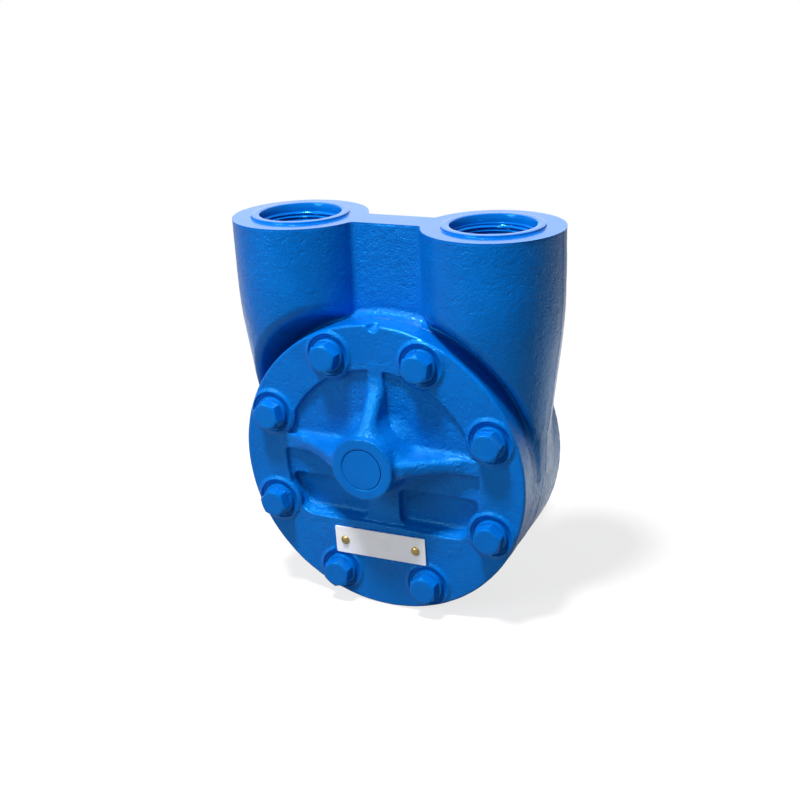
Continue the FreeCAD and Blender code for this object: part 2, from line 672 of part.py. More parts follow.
def lock_washers():
    """Split spring washers under the bolt heads."""
    thick = value("dims.washer_thick")
    outer = Part.makeCylinder(value("dims.washer_rad"), thick, FreeCAD.Vector(0, 0, 0), Y_AXIS)
    inner = Part.makeCylinder(value("dims.bolt_rad + dims.bolt_clear"), thick,
                              FreeCAD.Vector(0, 0, 0), Y_AXIS)
    slit = value("dims.washer_slit")
    gap = Part.makeBox(slit, thick, value("dims.washer_rad"), FreeCAD.Vector(-slit / 2, 0, 0))
    washer = outer.cut(inner).cut(gap)
    number = count("bolt_count")
    group = copies(washer, BOLT_RING, number, 180.0 / number)
    return solid_feature("lock_washers", group, y=HEAD_SEAT)


def idler_pin():
    """The fixed pin, pressed into the cover and flush with the boss."""
    length = f"{GEAR_BACK} - {NOSE_END}"
    return turned("idler_pin", [
        ("0", "0"),
        ("dims.pin_rad", "0"),
        ("dims.pin_rad", length),
        ("0", length),
    ], y=NOSE_END, z=IDLER_RISE)


def idler_profile():
    """The idler's outline, cut by the rotor's round-nosed fingers as they roll past.

    A finger nose is a circle about a point of the rotor's pitch circle, so it
    touches the idler where the line through its centre and the pitch point leaves it.
    """
    pitch = value(ROTOR_PITCH)
    rise = value(IDLER_RISE)
    reach = value("dims.finger_rad + dims.tooth_clear")
    tip = value(IDLER_TIP)
    teeth = count("idler_teeth")
    ratio = value("dims.rotor_teeth / dims.idler_teeth")
    pitch_point = FreeCAD.Vector(0, 0, value(IDLER_PITCH))

    def flank_point(degrees):
        turn = math.radians(degrees)
        centre = FreeCAD.Vector(-pitch * math.sin(turn), 0, pitch * math.cos(turn))
        to_pitch = (FreeCAD.Vector(0, 0, pitch) - centre).normalize()
        touch = centre + to_pitch * reach - FreeCAD.Vector(0, 0, rise)
        return FreeCAD.Rotation(Y_AXIS, degrees * ratio).multVec(touch)

    def angle_where(passed, low, high):
        for _ in range(40):
            middle = (low + high) / 2
            if passed(flank_point(middle)):
                high = middle
            else:
                low = middle
        return high

    spin = 360.0 / teeth
    first = angle_where(lambda point: (point - pitch_point).Length > reach, spin / 4, 1.5 * spin)
    last = angle_where(lambda point: point.Length > tip, first, first + 1.5 * spin)
    steps = 12
    flank = [flank_point(first + (last - first) * index / steps) for index in range(steps + 1)]

    edges = []
    for index in range(teeth):
        turn = FreeCAD.Rotation(Y_AXIS, spin * index)
        after = FreeCAD.Rotation(Y_AXIS, spin * (index + 1))
        right = [turn.multVec(point) for point in flank]
        left = [turn.multVec(FreeCAD.Vector(-point.x, 0, point.z)) for point in flank]
        next_left = after.multVec(FreeCAD.Vector(-flank[-1].x, 0, flank[-1].z))
        root = turn.multVec(pitch_point - FreeCAD.Vector(0, 0, reach))
        top = FreeCAD.Rotation(Y_AXIS, spin * (index + 0.5)).multVec(FreeCAD.Vector(0, 0, tip))
        for side in (left, right):
            curve = Part.BSplineCurve()
            curve.interpolate(side)
            edges.append(curve.toShape())
        edges.append(Part.Arc(left[0], root, right[0]).toShape())
        edges.append(Part.Arc(right[-1], top, next_left).toShape())
    wire = Part.Wire(Part.__sortEdges__(edges))
    return Part.Face(wire)


def idler_gear():
    """The idler between the cover and the rotor disc, bored for its bushing."""
    length = value(f"{GEAR_BACK} - {GEAR_FRONT}")
    blank = idler_profile().extrude(FreeCAD.Vector(0, length, 0))
    bore = Part.makeCylinder(value(IDLER_BORE), length, FreeCAD.Vector(0, 0, 0), Y_AXIS)
    return solid_feature("idler_gear", blank.cut(bore), y=GEAR_FRONT, z=IDLER_RISE)


def idler_bushing():
    return tube("idler_bushing", "dims.pin_rad + dims.running_clear", IDLER_BORE,
                f"{GEAR_BACK} - {GEAR_FRONT}", GEAR_FRONT, IDLER_RISE)


def rotor():
    """The rotor: a disc with a hub behind it and round-nosed fingers in front."""
    body = doc.addObject("PartDesign::Body", "rotor")
    fingers = f"{PLATE_FRONT} - {GEAR_FRONT}"
    disc = outline(body, "rotor_profile", [
        ("dims.shaft_rad", fingers),
        (ROTOR_RAD, fingers),
        (ROTOR_RAD, f"{ROTOR_BACK} - {GEAR_FRONT}"),
        ("dims.rotor_boss_rad", f"{ROTOR_BACK} - {GEAR_FRONT}"),
        ("dims.rotor_boss_rad", f"{ROTOR_END} - {GEAR_FRONT}"),
        ("dims.shaft_rad", f"{ROTOR_END} - {GEAR_FRONT}"),
    ])
    spin = body.newObject("PartDesign::Revolution", "rotor_disc")
    spin.Profile = disc
    spin.ReferenceAxis = (disc, ["V_Axis"])
    spin.Angle = 360

    finger = body.newObject("PartDesign::Pad", "rotor_finger")
    finger.Profile = finger_sketch(body)
    finger.Reversed = True
    finger.setExpression("Length", f"{fingers} + dims.rotor_plate / 2")
    doc.recompute()
    ring = body.newObject("PartDesign::PolarPattern", "rotor_fingers")
    ring.Originals = [finger]
    ring.Axis = (disc, ["V_Axis"])
    ring.Angle = 360
    ring.setExpression("Occurrences", "dims.rotor_teeth")
    body.Tip = ring
    doc.recompute()

    slot = body.newObject("PartDesign::SubtractiveBox", "rotor_keyway")
    slot.AttachmentSupport = (origin_plane(body, "XY_Plane"), [""])
    slot.MapMode = "FlatFace"
    slot.setExpression("Length", "dims.rotor_key_wide")
    slot.setExpression("Width", "dims.rotor_key_len")
    slot.setExpression("Height", "dims.rotor_key_wide")
    slot.setExpression(".AttachmentOffset.Base.x", "-dims.rotor_key_wide / 2")
    slot.setExpression(".AttachmentOffset.Base.y", f"{ROTOR_END} - dims.rotor_key_len - {GEAR_FRONT}")
    slot.setExpression(".AttachmentOffset.Base.z", "dims.shaft_rad - dims.rotor_key_wide / 2")
    body.Tip = slot
    return put(body, y=GEAR_FRONT)


def finger_sketch(body):
    """One finger seen along the shaft: straight sides, round nose, outside on the rim."""
    sketch = body.newObject("Sketcher::SketchObject", "finger_outline")
    sketch.AttachmentSupport = (origin_plane(body, "XZ_Plane"), [""])
    sketch.MapMode = "FlatFace"
    half = value("dims.finger_rad")
    pitch = value(ROTOR_PITCH)
    rim = value(ROTOR_RAD)
    shoulder = math.sqrt(rim * rim - half * half)
    lean = math.asin(half / rim)
    up = FreeCAD.Vector(0, 0, 1)
    left = Part.LineSegment(FreeCAD.Vector(-half, pitch, 0), FreeCAD.Vector(-half, shoulder, 0))
    right = Part.LineSegment(FreeCAD.Vector(half, pitch, 0), FreeCAD.Vector(half, shoulder, 0))
    outside = Part.ArcOfCircle(Part.Circle(FreeCAD.Vector(0, 0, 0), up, rim),
                               math.pi / 2 - lean, math.pi / 2 + lean)
    nose = Part.ArcOfCircle(Part.Circle(FreeCAD.Vector(0, pitch, 0), up, half),
                            math.pi, 2 * math.pi)
    for item in (left, right, outside, nose):
        sketch.addGeometry(item, False)
    rules = [
        ("Coincident", 2, 3, -1, 1),
        ("Coincident", 1, 2, 2, 1),
        ("Coincident", 0, 2, 2, 2),
        ("Coincident", 0, 1, 3, 1),
        ("Coincident", 1, 1, 3, 2),
        ("Vertical", 0),
        ("Vertical", 1),
        ("PointOnObject", 3, 3, -2),
        ("Horizontal", 3, 1, 3, 3),
    ]
    for rule in rules:
        sketch.addConstraint(Sketcher.Constraint(*rule))
    for rule, text in ((("Radius", 2, rim), ROTOR_RAD),
                       (("Radius", 3, half), "dims.finger_rad"),
                       (("DistanceY", -1, 1, 3, 3, pitch), ROTOR_PITCH)):
        number = sketch.addConstraint(Sketcher.Constraint(*rule))
        sketch.setExpression(f"Constraints[{number}]", text)
    return sketch


def rotor_key():
    return block("rotor_key", "dims.rotor_key_wide", "dims.rotor_key_len", "dims.rotor_key_wide",
                 "-dims.rotor_key_wide / 2", f"{ROTOR_END} - dims.rotor_key_len",
                 "dims.shaft_rad - dims.rotor_key_wide / 2")


def drive_shaft():
    """The shaft: seat for rotor, bushing and seal, bearing seat, ring groove, drive end."""
    start = PLATE_FRONT
    shoulder = f"{BEARING_FRONT} - {start}"
    groove = f"{BEARING_END} - {start}"
    groove_end = f"{BEARING_END} + dims.ring_thick - {start}"
    neck = f"{SHAFT_SHOULDER} - {start}"
    end = f"{SHAFT_END} - {start}"
    blank = turned("shaft_blank", [
        ("0", "0"),
        ("dims.shaft_rad", "0"),
        ("dims.shaft_rad", shoulder),
        ("dims.bearing_seat_rad", shoulder),
        ("dims.bearing_seat_rad", groove),
        ("dims.bearing_seat_rad - dims.ring_bite", groove),
        ("dims.bearing_seat_rad - dims.ring_bite", groove_end),
        ("dims.bearing_seat_rad", groove_end),
        ("dims.bearing_seat_rad", neck),
        ("dims.shaft_end_rad", neck),
        ("dims.shaft_end_rad", f"{end} - dims.shaft_chamfer"),
        ("dims.shaft_end_rad - dims.shaft_chamfer", end),
        ("0", end),
    ], y=start)
    slots = fuse("shaft_keyways", [
        block("drive_keyway", "dims.keyway_wide", "dims.keyway_len", "dims.keyway_deep",
              "-dims.keyway_wide / 2", f"{SHAFT_END} - dims.keyway_len",
              "dims.shaft_end_rad - dims.keyway_deep"),
        block("rotor_key_seat", "dims.rotor_key_wide", "dims.rotor_key_len",
              "dims.rotor_key_wide", "-dims.rotor_key_wide / 2",
              f"{ROTOR_END} - dims.rotor_key_len",
              "dims.shaft_rad - dims.rotor_key_wide / 2"),
    ])
    return cut("drive_shaft", blank, slots)


def shaft_bushing():
    return tube("shaft_bushing", "dims.shaft_rad + dims.running_clear", BUSH_RAD,
                "dims.shaft_bush_len", BUSH_START)


def thrust_washer():
    return tube("thrust_washer", "dims.shaft_rad + dims.shaft_gap / 2",
                f"{RECESS_RAD} - dims.running_clear", "dims.thrust_washer",
                f"{BUSH_START} - dims.thrust_washer")


FACE_START = f"({SEAL_FACE} - dims.face_ring_len)"
SPRING_START = f"({FACE_START} - dims.spring_len)"
COLLAR_START = f"({SPRING_START} - dims.collar_len)"


def seal_collar():
    """The collar that holds the seal's spring, fixed on the shaft."""
    return tube("seal_collar", "dims.shaft_rad", "dims.collar_rad", "dims.collar_len", COLLAR_START)


def seal_spring():
    """A coil spring between the collar and the rotating seal face."""
    wire = value("dims.spring_wire_rad")
    turns = value("dims.spring_turns")
    radius = value("dims.collar_rad") - wire
    height = value("dims.spring_len") - 2 * wire
    helix = Part.makeHelix(height / turns, height, radius)
    start = FreeCAD.Vector(radius, 0, 0)
    section = Part.Wire(Part.makeCircle(wire, start, FreeCAD.Vector(0, 1, 0)))
    coil = Part.Wire(helix.Edges).makePipeShell([section], True, True)
    return solid_feature("seal_spring", coil, y=f"{SPRING_START} + dims.spring_wire_rad",
                         turn=ALONG_Y)


def seal_bellows():
    """The rubber sleeve that seals the rotating face to the shaft."""
    return tube("seal_bellows", "dims.shaft_rad", "dims.shaft_rad + dims.bellows_wall",
                "dims.spring_len", SPRING_START)


def seal_face():
    """The rotating seal face."""
    return tube("seal_face", "dims.shaft_rad", "dims.face_ring_rad", "dims.face_ring_len",
                FACE_START)


def seal_seat():
    """The fixed seal face in the bearing housing, grooved for its ring."""
    ring = "2 * dims.seat_ring_rad"
    return turned("seal_seat", [
        ("dims.shaft_rad + dims.shaft_gap", "0"),
        ("dims.seat_rad", "0"),
        ("dims.seat_rad", f"dims.seat_len - {ring}"),
        (f"dims.seat_rad - {ring}", f"dims.seat_len - {ring}"),
        (f"dims.seat_rad - {ring}", "dims.seat_len"),
        ("dims.shaft_rad + dims.shaft_gap", "dims.seat_len"),
    ], y=HOUSING_FRONT)


def seat_ring():
    """The rubber ring that seals the fixed face in its housing."""
    ring = doc.addObject("Part::Torus", "seat_ring")
    ring.setExpression("Radius1", "dims.seat_rad - dims.seat_ring_rad")
    ring.setExpression("Radius2", "dims.seat_ring_rad")
    return put(ring, y=f"{SEAT_BACK} - dims.seat_ring_rad", turn=ALONG_Y)


def housing_gasket():
    ring = tube("housing_gasket_ring", "dims.seal_rad", "dims.flange_rad", "dims.gasket_thick",
                TAIL_END)
    holes = screw_holes("housing_gasket_hole", "dims.gasket_thick", TAIL_END)
    return cut("housing_gasket", ring, fuse("housing_gasket_holes", holes))


def screw_holes(name, length, y):
    number = count("housing_screw_count")
    holes = []
    for index, (x, z) in enumerate(ring_places("dims.housing_screw_ring", number, 0.0)):
        holes.append(cylinder(f"{name}_{index + 1}", "dims.housing_screw_rad + dims.bolt_clear",
                              length, x, y, z))
    return holes


def bearing_housing():
    """The housing behind the seal: fixed seal face in front, ball bearing and dust seal behind."""
    seat = "dims.seat_len"
    race = f"{BEARING_FRONT} - {HOUSING_FRONT}"
    groove = f"{BEARING_END} - {HOUSING_FRONT}"
    groove_end = f"{BEARING_END} + dims.ring_thick - {HOUSING_FRONT}"
    blank = turned("housing_blank", [
        ("dims.seat_rad", "0"),
        ("dims.flange_rad", "0"),
        ("dims.flange_rad", "dims.flange_thick"),
        ("dims.housing_rad", "dims.flange_thick"),
        ("dims.housing_rad", f"{HOUSING_END} - {HOUSING_FRONT}"),
        ("dims.bearing_rad", f"{HOUSING_END} - {HOUSING_FRONT}"),
        ("dims.bearing_rad", groove_end),
        ("dims.bearing_rad + dims.ring_bite", groove_end),
        ("dims.bearing_rad + dims.ring_bite", groove),
        ("dims.bearing_rad", groove),
        ("dims.bearing_rad", race),
        ("dims.shaft_rad + dims.shaft_gap", race),
        ("dims.shaft_rad + dims.shaft_gap", seat),
        ("dims.seat_rad", seat),
    ], y=HOUSING_FRONT)
    holes = screw_holes("flange_hole", "dims.flange_thick", HOUSING_FRONT)
    return cut("bearing_housing", blank, fuse("flange_holes", holes))


def housing_screws():
    """Socket head screws that hold the bearing housing."""
    radius = value("dims.housing_screw_rad")
    head = value("dims.housing_screw_head")
    length = value("dims.housing_screw_len")
    deep = value("dims.socket_depth")
    shank = Part.makeCylinder(radius, length, FreeCAD.Vector(0, -length, 0), Y_AXIS)
    cap = Part.makeCylinder(value("dims.housing_screw_head_rad"), head,
                            FreeCAD.Vector(0, 0, 0), Y_AXIS)
    socket = hexagon_prism(value("dims.socket_flats"), deep)
    socket.translate(FreeCAD.Vector(0, head - deep, 0))
    screw = cap.fuse(shank).removeSplitter().cut(socket)
    group = copies(screw, "dims.housing_screw_ring", count("housing_screw_count"), 0.0)
    return solid_feature("housing_screws", group, y=f"{HOUSING_FRONT} + dims.flange_thick")


def bearing_ring(name, inner, outer, track_cut_y):
    """One ring of the ball bearing with its rolling track."""
    ring = tube(f"{name}_blank", inner, outer, "dims.bearing_wide", BEARING_FRONT)
    track = doc.addObject("Part::Torus", f"{name}_track")
    track.setExpression("Radius1", "dims.race_rad")
    track.setExpression("Radius2", "dims.ball_rad + dims.ball_clear")
    put(track, y=track_cut_y, turn=ALONG_Y)
    return cut(name, ring, track)


BALL_Y = f"({BEARING_FRONT} + dims.bearing_wide / 2)"


def ball_bearing():
    """Both rings, the balls and the cage, each a piece of its own."""
    bearing_ring("bearing_inner_ring", "dims.bearing_seat_rad", "dims.inner_land_rad", BALL_Y)
    bearing_ring("bearing_outer_ring", "dims.outer_land_rad", "dims.bearing_rad", BALL_Y)
    number = count("ball_count")
    ball = Part.makeSphere(value("dims.ball_rad"))
    solid_feature("bearing_balls", copies(ball, "dims.race_rad", number, 0.0), y=BALL_Y)
    band = tube("cage_band", "dims.race_rad - dims.cage_thick / 2",
                "dims.race_rad + dims.cage_thick / 2", "dims.cage_wide",
                f"{BALL_Y} - dims.cage_wide / 2")
    pockets = []
    for index in range(number):
        lean = (Y_AXIS, 90 - 360.0 * index / number)
        pockets.append(cylinder(f"cage_pocket_{index + 1}", "dims.ball_rad + dims.ball_clear",
                                "dims.race_rad + dims.cage_thick", y=BALL_Y, turn=lean))
    cut("bearing_cage", band, fuse("cage_pockets", pockets))


def snap_ring(name, inner, outer):
    """An open spring ring: a flat ring with a wedge taken out at the top."""
    thick = value("dims.ring_thick")
    mouth = value("dims.ring_mouth")
    ring = Part.makeCylinder(outer, thick, FreeCAD.Vector(0, 0, 0), Y_AXIS, 360 - mouth)
    hole = Part.makeCylinder(inner, thick, FreeCAD.Vector(0, 0, 0), Y_AXIS)
    shape = ring.cut(hole)
    shape.rotate(FreeCAD.Vector(0, 0, 0), Y_AXIS, mouth / 2)
    return solid_feature(name, shape, y=BEARING_END)


def snap_rings():
    """The ring that holds the bearing in its housing and the one that holds it on the shaft."""
    bite = value("dims.ring_bite - dims.thread_clear")
    show = value("dims.ring_show")
    bore = value("dims.bearing_rad")
    seat = value("dims.bearing_seat_rad")
    snap_ring("housing_snap_ring", bore - show, bore + bite)
    snap_ring("shaft_snap_ring", seat - bite, seat + show)


def dust_seal():
    """The lip seal that closes the bearing housing at the back."""
    return turned("dust_seal", [
        ("dims.bearing_seat_rad + dims.dust_lip_clear", "dims.dust_seal_len / 2"),
        ("dims.bearing_rad - 3", "0"),
        ("dims.bearing_rad", "0"),
        ("dims.bearing_rad", "dims.dust_seal_len"),
        ("dims.bearing_seat_rad + dims.dust_lip_clear", "dims.dust_seal_len"),
    ], y=SEAL_SEAT)


def nameplate():
    """The bare plate low on the cover, a little out of level, with its two holes."""
    wide = value("dims.plate_wide")
    high = value("dims.plate_high")
    thick = value("dims.plate_thick")
    plate = Part.makeBox(wide, thick, high, FreeCAD.Vector(-wide / 2, 0, -high / 2))
    for sign in (-1, 1):
        centre = FreeCAD.Vector(sign * value("dims.rivet_half_gap"), 0, 0)
        plate = plate.cut(Part.makeCylinder(value("dims.rivet_rad"), thick, centre, Y_AXIS))
    tilt = (Y_AXIS, -value("dims.plate_tilt"))
    return solid_feature("nameplate", plate, "-dims.plate_shift",
                         f"{COVER_FRONT} - dims.plate_thick", f"-{PLATE_DROP}", tilt)


def nameplate_screws():
    """Round-headed drive screws through the nameplate."""
    head = value("dims.rivet_head")
    radius = value("dims.rivet_head_rad")
    length = value("dims.rivet_len + dims.plate_thick")
    ball = (radius * radius + head * head) / (2 * head)
    dome = Part.makeSphere(ball, FreeCAD.Vector(0, ball - head, 0))
    front = Part.makeBox(2 * ball, 2 * ball, 2 * ball, FreeCAD.Vector(-ball, -2 * ball, -ball))
    shank = Part.makeCylinder(value("dims.rivet_rad"), length, FreeCAD.Vector(0, 0, 0), Y_AXIS)
    screw = dome.common(front).fuse(shank).removeSplitter()
    placed = []
    for x, z in rivet_places():
        copy = screw.copy()
        copy.translate(FreeCAD.Vector(value(x), 0, value(z)))
        placed.append(copy)
    return solid_feature("nameplate_screws", Part.makeCompound(placed),
                         y=f"{COVER_FRONT} - dims.plate_thick")


PIECES = [
    "pump_body", "front_cover", "cover_gasket", "cover_bolts", "lock_washers",
    "idler_pin", "idler_gear", "idler_bushing", "rotor", "rotor_key", "drive_shaft",
    "shaft_bushing", "thrust_washer", "seal_collar", "seal_spring", "seal_bellows",
    "seal_face", "seal_seat", "seat_ring", "housing_gasket", "bearing_housing",
    "housing_screws", "bearing_inner_ring", "bearing_outer_ring", "bearing_balls",
    "bearing_cage", "housing_snap_ring", "shaft_snap_ring", "dust_seal",
    "nameplate", "nameplate_screws",
]


def build():
    for make in (pump_body, front_cover, cover_gasket, cover_bolts, lock_washers, idler_pin,
                 idler_gear, idler_bushing, rotor, rotor_key, drive_shaft, shaft_bushing,
                 thrust_washer, seal_collar, seal_spring, seal_bellows, seal_face, seal_seat,
                 seat_ring, housing_gasket, bearing_housing, housing_screws, ball_bearing,
                 snap_rings, dust_seal, nameplate, nameplate_screws):
        make()
    doc.recompute()


def check():
    """Stop if any object failed or any piece has no sound shape."""
    for thing in doc.Objects:
        if "Invalid" in thing.State or "Error" in thing.State:
            raise RuntimeError(f"{thing.Name} failed: {thing.State}")
    for name in PIECES:
        shape = doc.getObject(name).Shape
        if shape.isNull() or not shape.isValid() or shape.Volume <= 0:
            raise RuntimeError(f"{name} has no sound shape")


def write():
    os.makedirs("parts", exist_ok=True)
    for name in PIECES:
        piece = doc.getObject(name)
        piece.Label = name
        piece.Shape.exportStep(f"parts/{name}.step")
        print(name, len(piece.Shape.Solids), round(piece.Shape.Volume / 1000, 3), "cm3")


build()
check()
write()
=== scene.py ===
import math
from functools import reduce

import bmesh
import bpy
import numpy as np
from bpy.props import (
    FloatProperty,
    FloatVectorProperty,
    IntProperty,
    PointerProperty,
)
from mathutils import Matrix, Vector
from mathutils.geometry import delaunay_2d_cdt


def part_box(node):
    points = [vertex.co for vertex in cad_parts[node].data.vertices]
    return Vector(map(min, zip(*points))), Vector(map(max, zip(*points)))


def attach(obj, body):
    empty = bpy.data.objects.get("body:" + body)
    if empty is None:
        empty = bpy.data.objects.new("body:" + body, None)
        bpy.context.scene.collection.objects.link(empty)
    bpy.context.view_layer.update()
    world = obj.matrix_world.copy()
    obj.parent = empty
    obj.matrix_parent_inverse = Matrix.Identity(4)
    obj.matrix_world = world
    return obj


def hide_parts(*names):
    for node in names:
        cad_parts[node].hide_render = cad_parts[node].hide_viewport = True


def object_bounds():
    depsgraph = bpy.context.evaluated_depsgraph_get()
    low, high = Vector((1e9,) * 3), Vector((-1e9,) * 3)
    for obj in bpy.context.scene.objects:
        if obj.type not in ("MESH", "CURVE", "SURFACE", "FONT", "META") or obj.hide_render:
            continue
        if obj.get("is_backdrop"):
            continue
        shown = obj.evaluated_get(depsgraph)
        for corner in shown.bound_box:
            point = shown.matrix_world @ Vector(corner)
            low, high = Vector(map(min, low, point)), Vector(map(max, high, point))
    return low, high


bl_info = {
    "name": "Gear Pump",
    "version": (1, 0, 0),
    "blender": (4, 5, 0),
    "location": "View3D > Sidebar > Gear Pump",
    "description": "Dresses the packed gear pump with cast skins, fasteners and finishes",
    "category": "Object",
}

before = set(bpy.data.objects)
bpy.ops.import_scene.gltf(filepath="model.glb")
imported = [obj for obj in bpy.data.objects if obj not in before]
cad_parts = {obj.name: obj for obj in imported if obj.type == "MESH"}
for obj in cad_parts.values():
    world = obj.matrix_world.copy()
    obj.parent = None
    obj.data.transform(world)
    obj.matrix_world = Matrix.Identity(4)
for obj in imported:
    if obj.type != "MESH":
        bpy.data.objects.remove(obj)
CAD_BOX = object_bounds()
MM = 0.001

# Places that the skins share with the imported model, in millimetres.
COVER_BOX = [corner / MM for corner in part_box("front_cover")]
BODY_BOX = [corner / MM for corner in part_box("pump_body")]
GASKET_BOX = [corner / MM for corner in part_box("cover_gasket")]
PIN_BOX = [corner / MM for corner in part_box("idler_pin")]
PLATE_BOX = [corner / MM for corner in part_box("nameplate")]
WASHER_BOX = [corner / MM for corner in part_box("lock_washers")]
BOLT_BOX = [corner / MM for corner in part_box("cover_bolts")]
HOUSING_BOX = [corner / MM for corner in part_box("bearing_housing")]

JOINT = GASKET_BOX[1].y
CASING_RADIUS = GASKET_BOX[1].x
COVER_BACK = GASKET_BOX[0].y
PIN_HEIGHT = (PIN_BOX[0].z + PIN_BOX[1].z) / 2

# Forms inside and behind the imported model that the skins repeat, in millimetres.
# A bore is its radius, where it starts and where it ends along the shaft.
BODY_BORES = ((20.0, -20.0, -8.15), (15.55, -9.0, 10.0), (22.0, 9.85, 40.0))
HOUSING_BORES = ((17.1, -1, 7.0), (12.2, 5, 40), (23.5, 8.5, 40))
TAIL_RADIUS = 42.0
SPIGOT_RADIUS = 43.0
SPIGOT_LENGTH = 8.0
CHAMBER_RADIUS = 58.0
CHAMBER_DEPTH = 45.0
DRILL_RADIUS = 20.0
DRILL_FLOOR = 108.0
PASSAGE_Y = 40.0
PASSAGE_RADIUS = 14.0
THROAT_RADIUS = 17.0
ELBOW_HEIGHT = 62.0
MOUNT_HOLE = 5.0
MOUNT_HOLE_OFFSET = 37.12
MOUNT_HOLE_DEPTH = 14
TAPPED_HOLE_END = -38.9
THREAD_ROOM_RADIUS = 26.5
THREAD_ROOM_FLOOR = 116.7
MOUTH_ROOM_FLOOR = 141
CRESCENT_OUTER = 38.85
CRESCENT_INNER = 39.6
CRESCENT_END = -27.3
HOUSING_BARREL = 29.5
HOUSING_FLANGE = 10
HOUSING_SCREW = 3.2
HOUSING_SCREW_OFFSET = 35.75 / math.sqrt(2)
THREAD_COLUMNS = 128

# The relief round the cover and the backs of the ribs, as they run away from the face.
RELIEF_SLOPE = 0.6736
RELIEF_CURVE = 0.00694
SIDE_RIB_RISE = 0.0418
SIDE_RIB_POWER = 1.68
TOP_RIB_SLOPE = 0.73
RIB_DRAFT = 0.04
FOOT_DEPTH = 12

# A slanting form is scaled by its steepness, so that its value stays a distance.
RELIEF_SCALE = 0.88
SIDE_RIB_SCALE = 0.86
TOP_RIB_SCALE = 0.81


def length(name, description, default, **limits):
    """A length in millimetres, as the drawing of a pump gives it."""
    return FloatProperty(name=name, description=f"{description}, in mm", default=default,
                         precision=2, **limits)


def number(name, description, default):
    """A setting without a unit."""
    return FloatProperty(name=name, description=description, default=default)


def tint(name, description, default):
    """A colour as shares of red, green and blue."""
    return FloatVectorProperty(name=name, description=description, subtype="COLOR",
                               default=default, min=0.0, max=1.0)


def direction(name, description, default):
    """A direction in the pump's frame."""
    return FloatVectorProperty(name=name, description=f"Direction of {description}",
                               subtype="DIRECTION", default=default)


class GearPumpBodySettings(bpy.types.PropertyGroup):
    grid: length("Grid", "Spacing of the points of the body's skin", 1.0, min=0.5)
    pad_radius: length("Pad radius", "Raised mounting pad at the back", 64.0)
    pad_height: length("Pad height", "How far the pad stands behind the casing", 10.0)
    port_x: length("Port offset", "Port axis to the middle plane", 61.5)
    port_y: length("Port depth", "Port axis in front of the mounting face", 43.7)
    port_top: length("Port height", "Face of the port columns above the shaft", 145.7)
    column_radius: length("Column radius", "Port column at its top", 41.05)
    column_taper: number("Column taper", "Loss of radius for each mm further down", 0.12)
    taper_top: length("Taper start", "Height where a column starts to taper", 95.0)
    web_thickness: length("Web thickness", "Web between the columns", 22.0)
    web_fillet: length("Web fillet", "Fillet where the web meets a column", 2.2)
    foot_fillet: length("Foot fillet", "Fillet where a column meets the casing", 6.0)
    relief_start: length("Relief start", "Relief round the cover, behind this distance", 57.5)
    ridge_height: length("Parting ridge", "Height of the mould's parting line", 0.35)
    lip_radius: length("Lip radius", "Raised ring round a port", 29.6)
    lip_height: length("Lip height", "Height of the raised ring", 1.4)
    mouth_radius: length("Mouth radius", "Plain mouth of a port", 24.6)
    mouth_depth: length("Mouth depth", "Depth of the plain mouth", 5.0)
    thread_radius: length("Thread radius", "Port thread at its outer radius", 24.1)
    thread_length: length("Thread length", "Length of the port thread", 24.0)
    thread_pitch: length("Thread pitch", "Rise of the port thread in one turn", 2.21)
    thread_depth: length("Thread depth", "Depth of the port thread", 1.3)


class GearPumpCoverSettings(bpy.types.PropertyGroup):
    grid: length("Grid", "Spacing of the points of the cover's skin", 0.75, min=0.5)
    rim_round: length("Rim round", "Round of the cover's front edge", 1.6)
    recess_radius: length("Recess radius", "Shallow recess in the face", 64.0)
    recess_depth: length("Recess depth", "Depth of the shallow recess", 3.0)
    recess_floor: length("Recess floor", "Lower edge of the recess below the shaft", 36.3)
    recess_corner: length("Recess corner", "Corner radius of the recess", 4.5)
    well_depth: length("Well depth", "Deep pockets below the side ribs", 9.0)
    well_inner: length("Well inner end", "Deep pocket to the middle plane", 11.0)
    well_top: length("Well top", "Top of a deep pocket below the shaft", 11.0)
    well_draft: length("Well draft", "Lean of the lower wall of a deep pocket", 3.0)
    well_corner: length("Well corner", "Corner radius of a deep pocket", 5.0)
    boss_radius: length("Boss radius", "End face of the pin boss", 19.7)
    boss_draft: number("Boss draft", "Gain of the pin boss's radius for each mm", 0.07)
    rib_thickness: length("Rib thickness", "Thickness of the three ribs", 10.4)
    rib_edge: length("Rib edge", "Round along the crest of a rib", 3.9)
    collar: length("Collar", "Round end of the boss in front of the ribs", 4.2)
    foot_fillet: length("Foot fillet", "Fillet of the ribs on the face", 3.5)
    boss_fillet: length("Boss fillet", "Fillet at the foot of the pin boss", 7.5)
    side_rib_reach: length("Side rib reach", "Pin axis to the end of a side rib", 62.0)
    top_rib_reach: length("Top rib reach", "Pin axis to where the top rib rises", 45.4)
    spot_radius: length("Spotface radius", "Machined seat under a bolt", 10.9)
    spot_depth: length("Spotface depth", "Depth of that seat", 0.5)
    bolt_pad_radius: length("Bolt pad radius", "Crest of the raised lip round a bolt", 13.0)
    bolt_pad_height: length("Bolt pad height", "Height of that lip", 1.2)
    notch_radius: length("Notch radius", "Scoop in the top edge for prying", 3.8)


